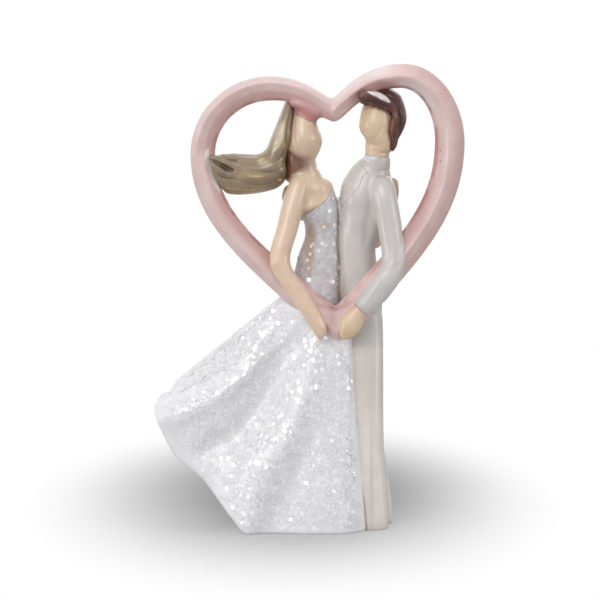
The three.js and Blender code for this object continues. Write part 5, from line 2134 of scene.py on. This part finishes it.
@dataclass(frozen=True)
class Glitter:
    """Round flakes that lie on the gown.

    Attributes:
        count: flakes in all.
        radius: of a flake, in millimetres.
        sides: corners of a flake.
        tilt: how far flakes stand off the cloth, as a slope.
        seed: of the scatter.
        on_bodice: how many lie on the bodice, as a share of those on as much of the skirt.
        underside: cloth that faces down more than this has none.
    """

    count: int = 4600
    radius: float = 0.68
    sides: int = 10
    tilt: float = 0.05
    seed: int = 5
    on_bodice: float = 0.12
    underside: float = -0.7

    def surface(self, gown: Sequence[bpy.types.Object]) -> Surface:
        """Scatter the flakes over the gown.

        Args:
            gown: the pieces to scatter over.

        Returns:
            All flakes as one mesh.
        """
        rng = np.random.default_rng(self.seed)
        centres, normals, weights, ridges = [], [], [], []
        for piece in gown:
            mesh = piece.data
            size = len(mesh.polygons)
            centre, normal, area = np.empty(size * 3), np.empty(size * 3), np.empty(size)
            mesh.polygons.foreach_get("center", centre)
            mesh.polygons.foreach_get("normal", normal)
            mesh.polygons.foreach_get("area", area)
            bare = np.empty(len(mesh.vertices))
            mesh.attributes["bare"].data.foreach_get("value", bare)
            first = np.array([p.vertices[0] for p in mesh.polygons])
            centres.append(centre.reshape(-1, 3) / MM)
            normals.append(normal.reshape(-1, 3))
            lit = np.empty(len(mesh.vertices))
            mesh.attributes["crest"].data.foreach_get("value", lit)
            ridges.append(lit[first])
            rare = self.on_bodice if piece.name.startswith("bride_bodice") else 1.0
            upper = normal.reshape(-1, 3)[:, 2] > self.underside
            weights.append(rare * area * (1 - bare[first]) ** 2 * upper)
        centre, normal, weight = np.vstack(centres), np.vstack(normals), np.concatenate(weights)
        ridge = np.concatenate(ridges)
        pick = rng.choice(len(centre), self.count, p=weight / weight.sum())
        middle = centre[pick] + rng.normal(0, 0.2, (self.count, 3)) * (1 - np.abs(normal[pick]))
        facing = normal[pick] + rng.normal(0, self.tilt, (self.count, 3))
        facing /= np.linalg.norm(facing, axis=1)[:, None]
        side = np.cross(facing, rng.normal(0, 1, (self.count, 3)))
        side /= np.linalg.norm(side, axis=1)[:, None]
        other = np.cross(facing, side)
        radius = self.radius * rng.uniform(0.85, 1.1, self.count)
        turns = np.linspace(0, 2 * np.pi, self.sides, endpoint=False)
        rim = (
            (middle + 0.04 * normal[pick])[:, None]
            + radius[:, None, None] * np.cos(turns)[None, :, None] * side[:, None]
            + radius[:, None, None] * np.sin(turns)[None, :, None] * other[:, None]
        )
        points = np.concatenate([rim, (middle + 0.05 * normal[pick])[:, None]], axis=1).reshape(-1, 3)
        first = np.arange(self.count)[:, None] * (self.sides + 1)
        step = np.arange(self.sides)[None]
        hub = np.broadcast_to(first + self.sides, (self.count, self.sides))
        fan = np.stack([first + step, first + (step + 1) % self.sides, hub], -1)
        surface = Surface(points, fan.reshape(-1, 3))
        # Painted highlight: most flakes on the drapes' ridges are bright, most elsewhere dull.
        bright = rng.uniform(0, 1, self.count) ** np.where(ridge[pick] > 0.4, 1.7, 9.0)
        surface.values["chance"] = np.repeat(bright, self.sides + 1)
        surface.values["rim"] = np.tile(np.append(np.ones(self.sides), 0.0), self.count)
        return surface

    def build(self, gown: Sequence[bpy.types.Object]) -> bpy.types.Object:
        """Make, dress and place the flakes."""
        return place(self.surface(gown), "gown_glitter", FlakeFinish().material(), "gown")


@dataclass(frozen=True)
class Lamp:
    """A soft lamp that faces the topper."""

    name: str
    place: tuple[float, float, float]
    size: float
    power: float

    def build(self, target: Vector) -> None:
        """Hang the lamp."""
        data = bpy.data.lights.new(self.name, "AREA")
        data.shape = "DISK"
        data.size = self.size
        data.energy = self.power
        lamp = bpy.data.objects.new(self.name, data)
        lamp.location = self.place
        lamp.rotation_euler = (target - Vector(self.place)).to_track_quat("-Z", "Y").to_euler()
        bpy.context.scene.collection.objects.link(lamp)


@dataclass(frozen=True)
class Studio:
    """Grey floor with a painted shadow, soft lamps, white surroundings and the camera.

    Attributes:
        target: what the camera looks at.
        elevation: of the camera, in degrees.
        distance: of the camera, in metres.
        lens: its focal length.
        ambient: light that the surroundings shed.
        floor_reach: half the floor's width.
        floor_shadow_grey, floor_bounce: the floor as it is seen, a grey that is painted shadow round the
            topper, and as it throws light back.
        lamps: the lamps.
    """

    target: tuple[float, float, float] = (-0.0105, 0.0, 0.0684)
    elevation: float = 4.0
    distance: float = 0.6
    lens: float = 120.0
    ambient: float = 0.34
    floor_reach: float = 6.0
    floor_shadow_grey: float = 0.4
    floor_bounce: float = 0.65
    lamps: tuple[Lamp, ...] = (
        Lamp("key", (-0.28, -0.56, 0.45), 0.45, 1.88),
        Lamp("top", (0.02, 0.04, 0.62), 0.4, 0.8),
        Lamp("left_strip", (-0.6, -0.25, 0.08), 0.26, 0.85),
        Lamp("right_strip", (0.55, -0.3, 0.2), 0.3, 0.7),
        Lamp("back", (0.2, 0.6, 0.4), 0.4, 0.7),
    )

    def camera(self) -> None:
        """Set up the camera at the photograph's viewing angle."""
        data = bpy.data.cameras.new("camera")
        data.lens = self.lens
        data.sensor_width = 36.0
        data.clip_start = 0.01
        camera = bpy.data.objects.new("camera", data)
        tilt = math.radians(self.elevation)
        target = Vector(self.target)
        camera.location = target + self.distance * Vector((0, -math.cos(tilt), math.sin(tilt)))
        camera.rotation_euler = (target - camera.location).to_track_quat("-Z", "Y").to_euler()
        bpy.context.scene.collection.objects.link(camera)
        bpy.context.scene.camera = camera

    def surroundings(self) -> None:
        """White world, dimmer for the light that it sheds than for the eye."""
        shader = Shader(bpy.data.worlds.new("surroundings"))
        path = shader.add("ShaderNodeLightPath", {}, {})
        seen = Sock(shader, path.outputs["Is Camera Ray"])
        for ray in ("Is Glossy Ray", "Is Transmission Ray"):
            seen = seen.largest(Sock(shader, path.outputs[ray]))
        strength = seen * (1 - self.ambient) + self.ambient
        bpy.context.scene.world = shader.finish(Color=(1, 1, 1, 1), Strength=strength)

    def floor(self) -> None:
        """Floor with a painted shadow: grey in an oval round the topper, fading into the white surroundings.
        """
        mesh = bpy.data.meshes.new("floor")
        reach = self.floor_reach
        rim = [(-reach, -reach, 0), (reach, -reach, 0), (reach, reach, 0), (-reach, reach, 0)]
        mesh.from_pydata(rim, [], [(0, 1, 2, 3)])
        floor = bpy.data.objects.new("floor", mesh)
        bpy.context.scene.collection.objects.link(floor)
        shader = Shader(bpy.data.materials.new("floor_finish"))
        # Painted shadow: the camera sees the grey floor in an oval centred just behind the topper, and white
        # outside it.
        inputs = {"Vector": shader.coordinates(), "Location": (0.14, -0.37, 0.0), "Scale": (11.0, 5.6, 1.0)}
        spot = shader.node("ShaderNodeMapping", {}, inputs)
        far = shader.node("ShaderNodeVectorMath", {"operation": "LENGTH"}, {0: spot}, "Value")
        seen = shader.node("ShaderNodeLightPath", {}, {}, "Is Camera Ray")
        white = shader.node("ShaderNodeEmission", {}, {"Color": (1, 1, 1, 1), "Strength": 1.0})
        bounce, grey = (
            shader.node("ShaderNodeBsdfDiffuse", {}, {"Color": (tone, tone, tone, 1)})
            for tone in (self.floor_bounce, self.floor_shadow_grey)
        )
        matt = shader.node("ShaderNodeMixShader", {}, {0: seen, 1: bounce, 2: grey})
        both = shader.node("ShaderNodeMixShader", {}, {0: far.between(0.15, 1.0) * seen, 1: matt, 2: white})
        shader.feed(shader.output.inputs["Surface"], both)
        mesh.materials.append(shader.owner)
        floor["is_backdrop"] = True

    def build(self) -> None:
        """Set up everything round the topper."""
        bpy.context.scene.view_settings.view_transform = "Standard"
        self.camera()
        self.surroundings()
        self.floor()
        for lamp in self.lamps:
            lamp.build(Vector((0, 0, 0.07)))


def corners(box: Sequence[Sequence[float]]) -> list[list[float]]:
    """A box as plain lists of numbers."""
    return [[float(v) for v in corner] for corner in box]


def main() -> None:
    """Build the topper and its studio."""
    logging.basicConfig(level=logging.INFO, format="%(name)s %(message)s")
    Studio().build()
    finishes = {paint.value.name: paint.value.material() for paint in Paint}
    made = Couple().build(finishes)
    skirt = Skirt().build(finishes["gown"])
    Glitter().build([skirt, made["bride_bodice"]])
    {"cad": corners(CAD_BOX), "visual": corners(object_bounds())}


if __name__ == "__main__":
    main()
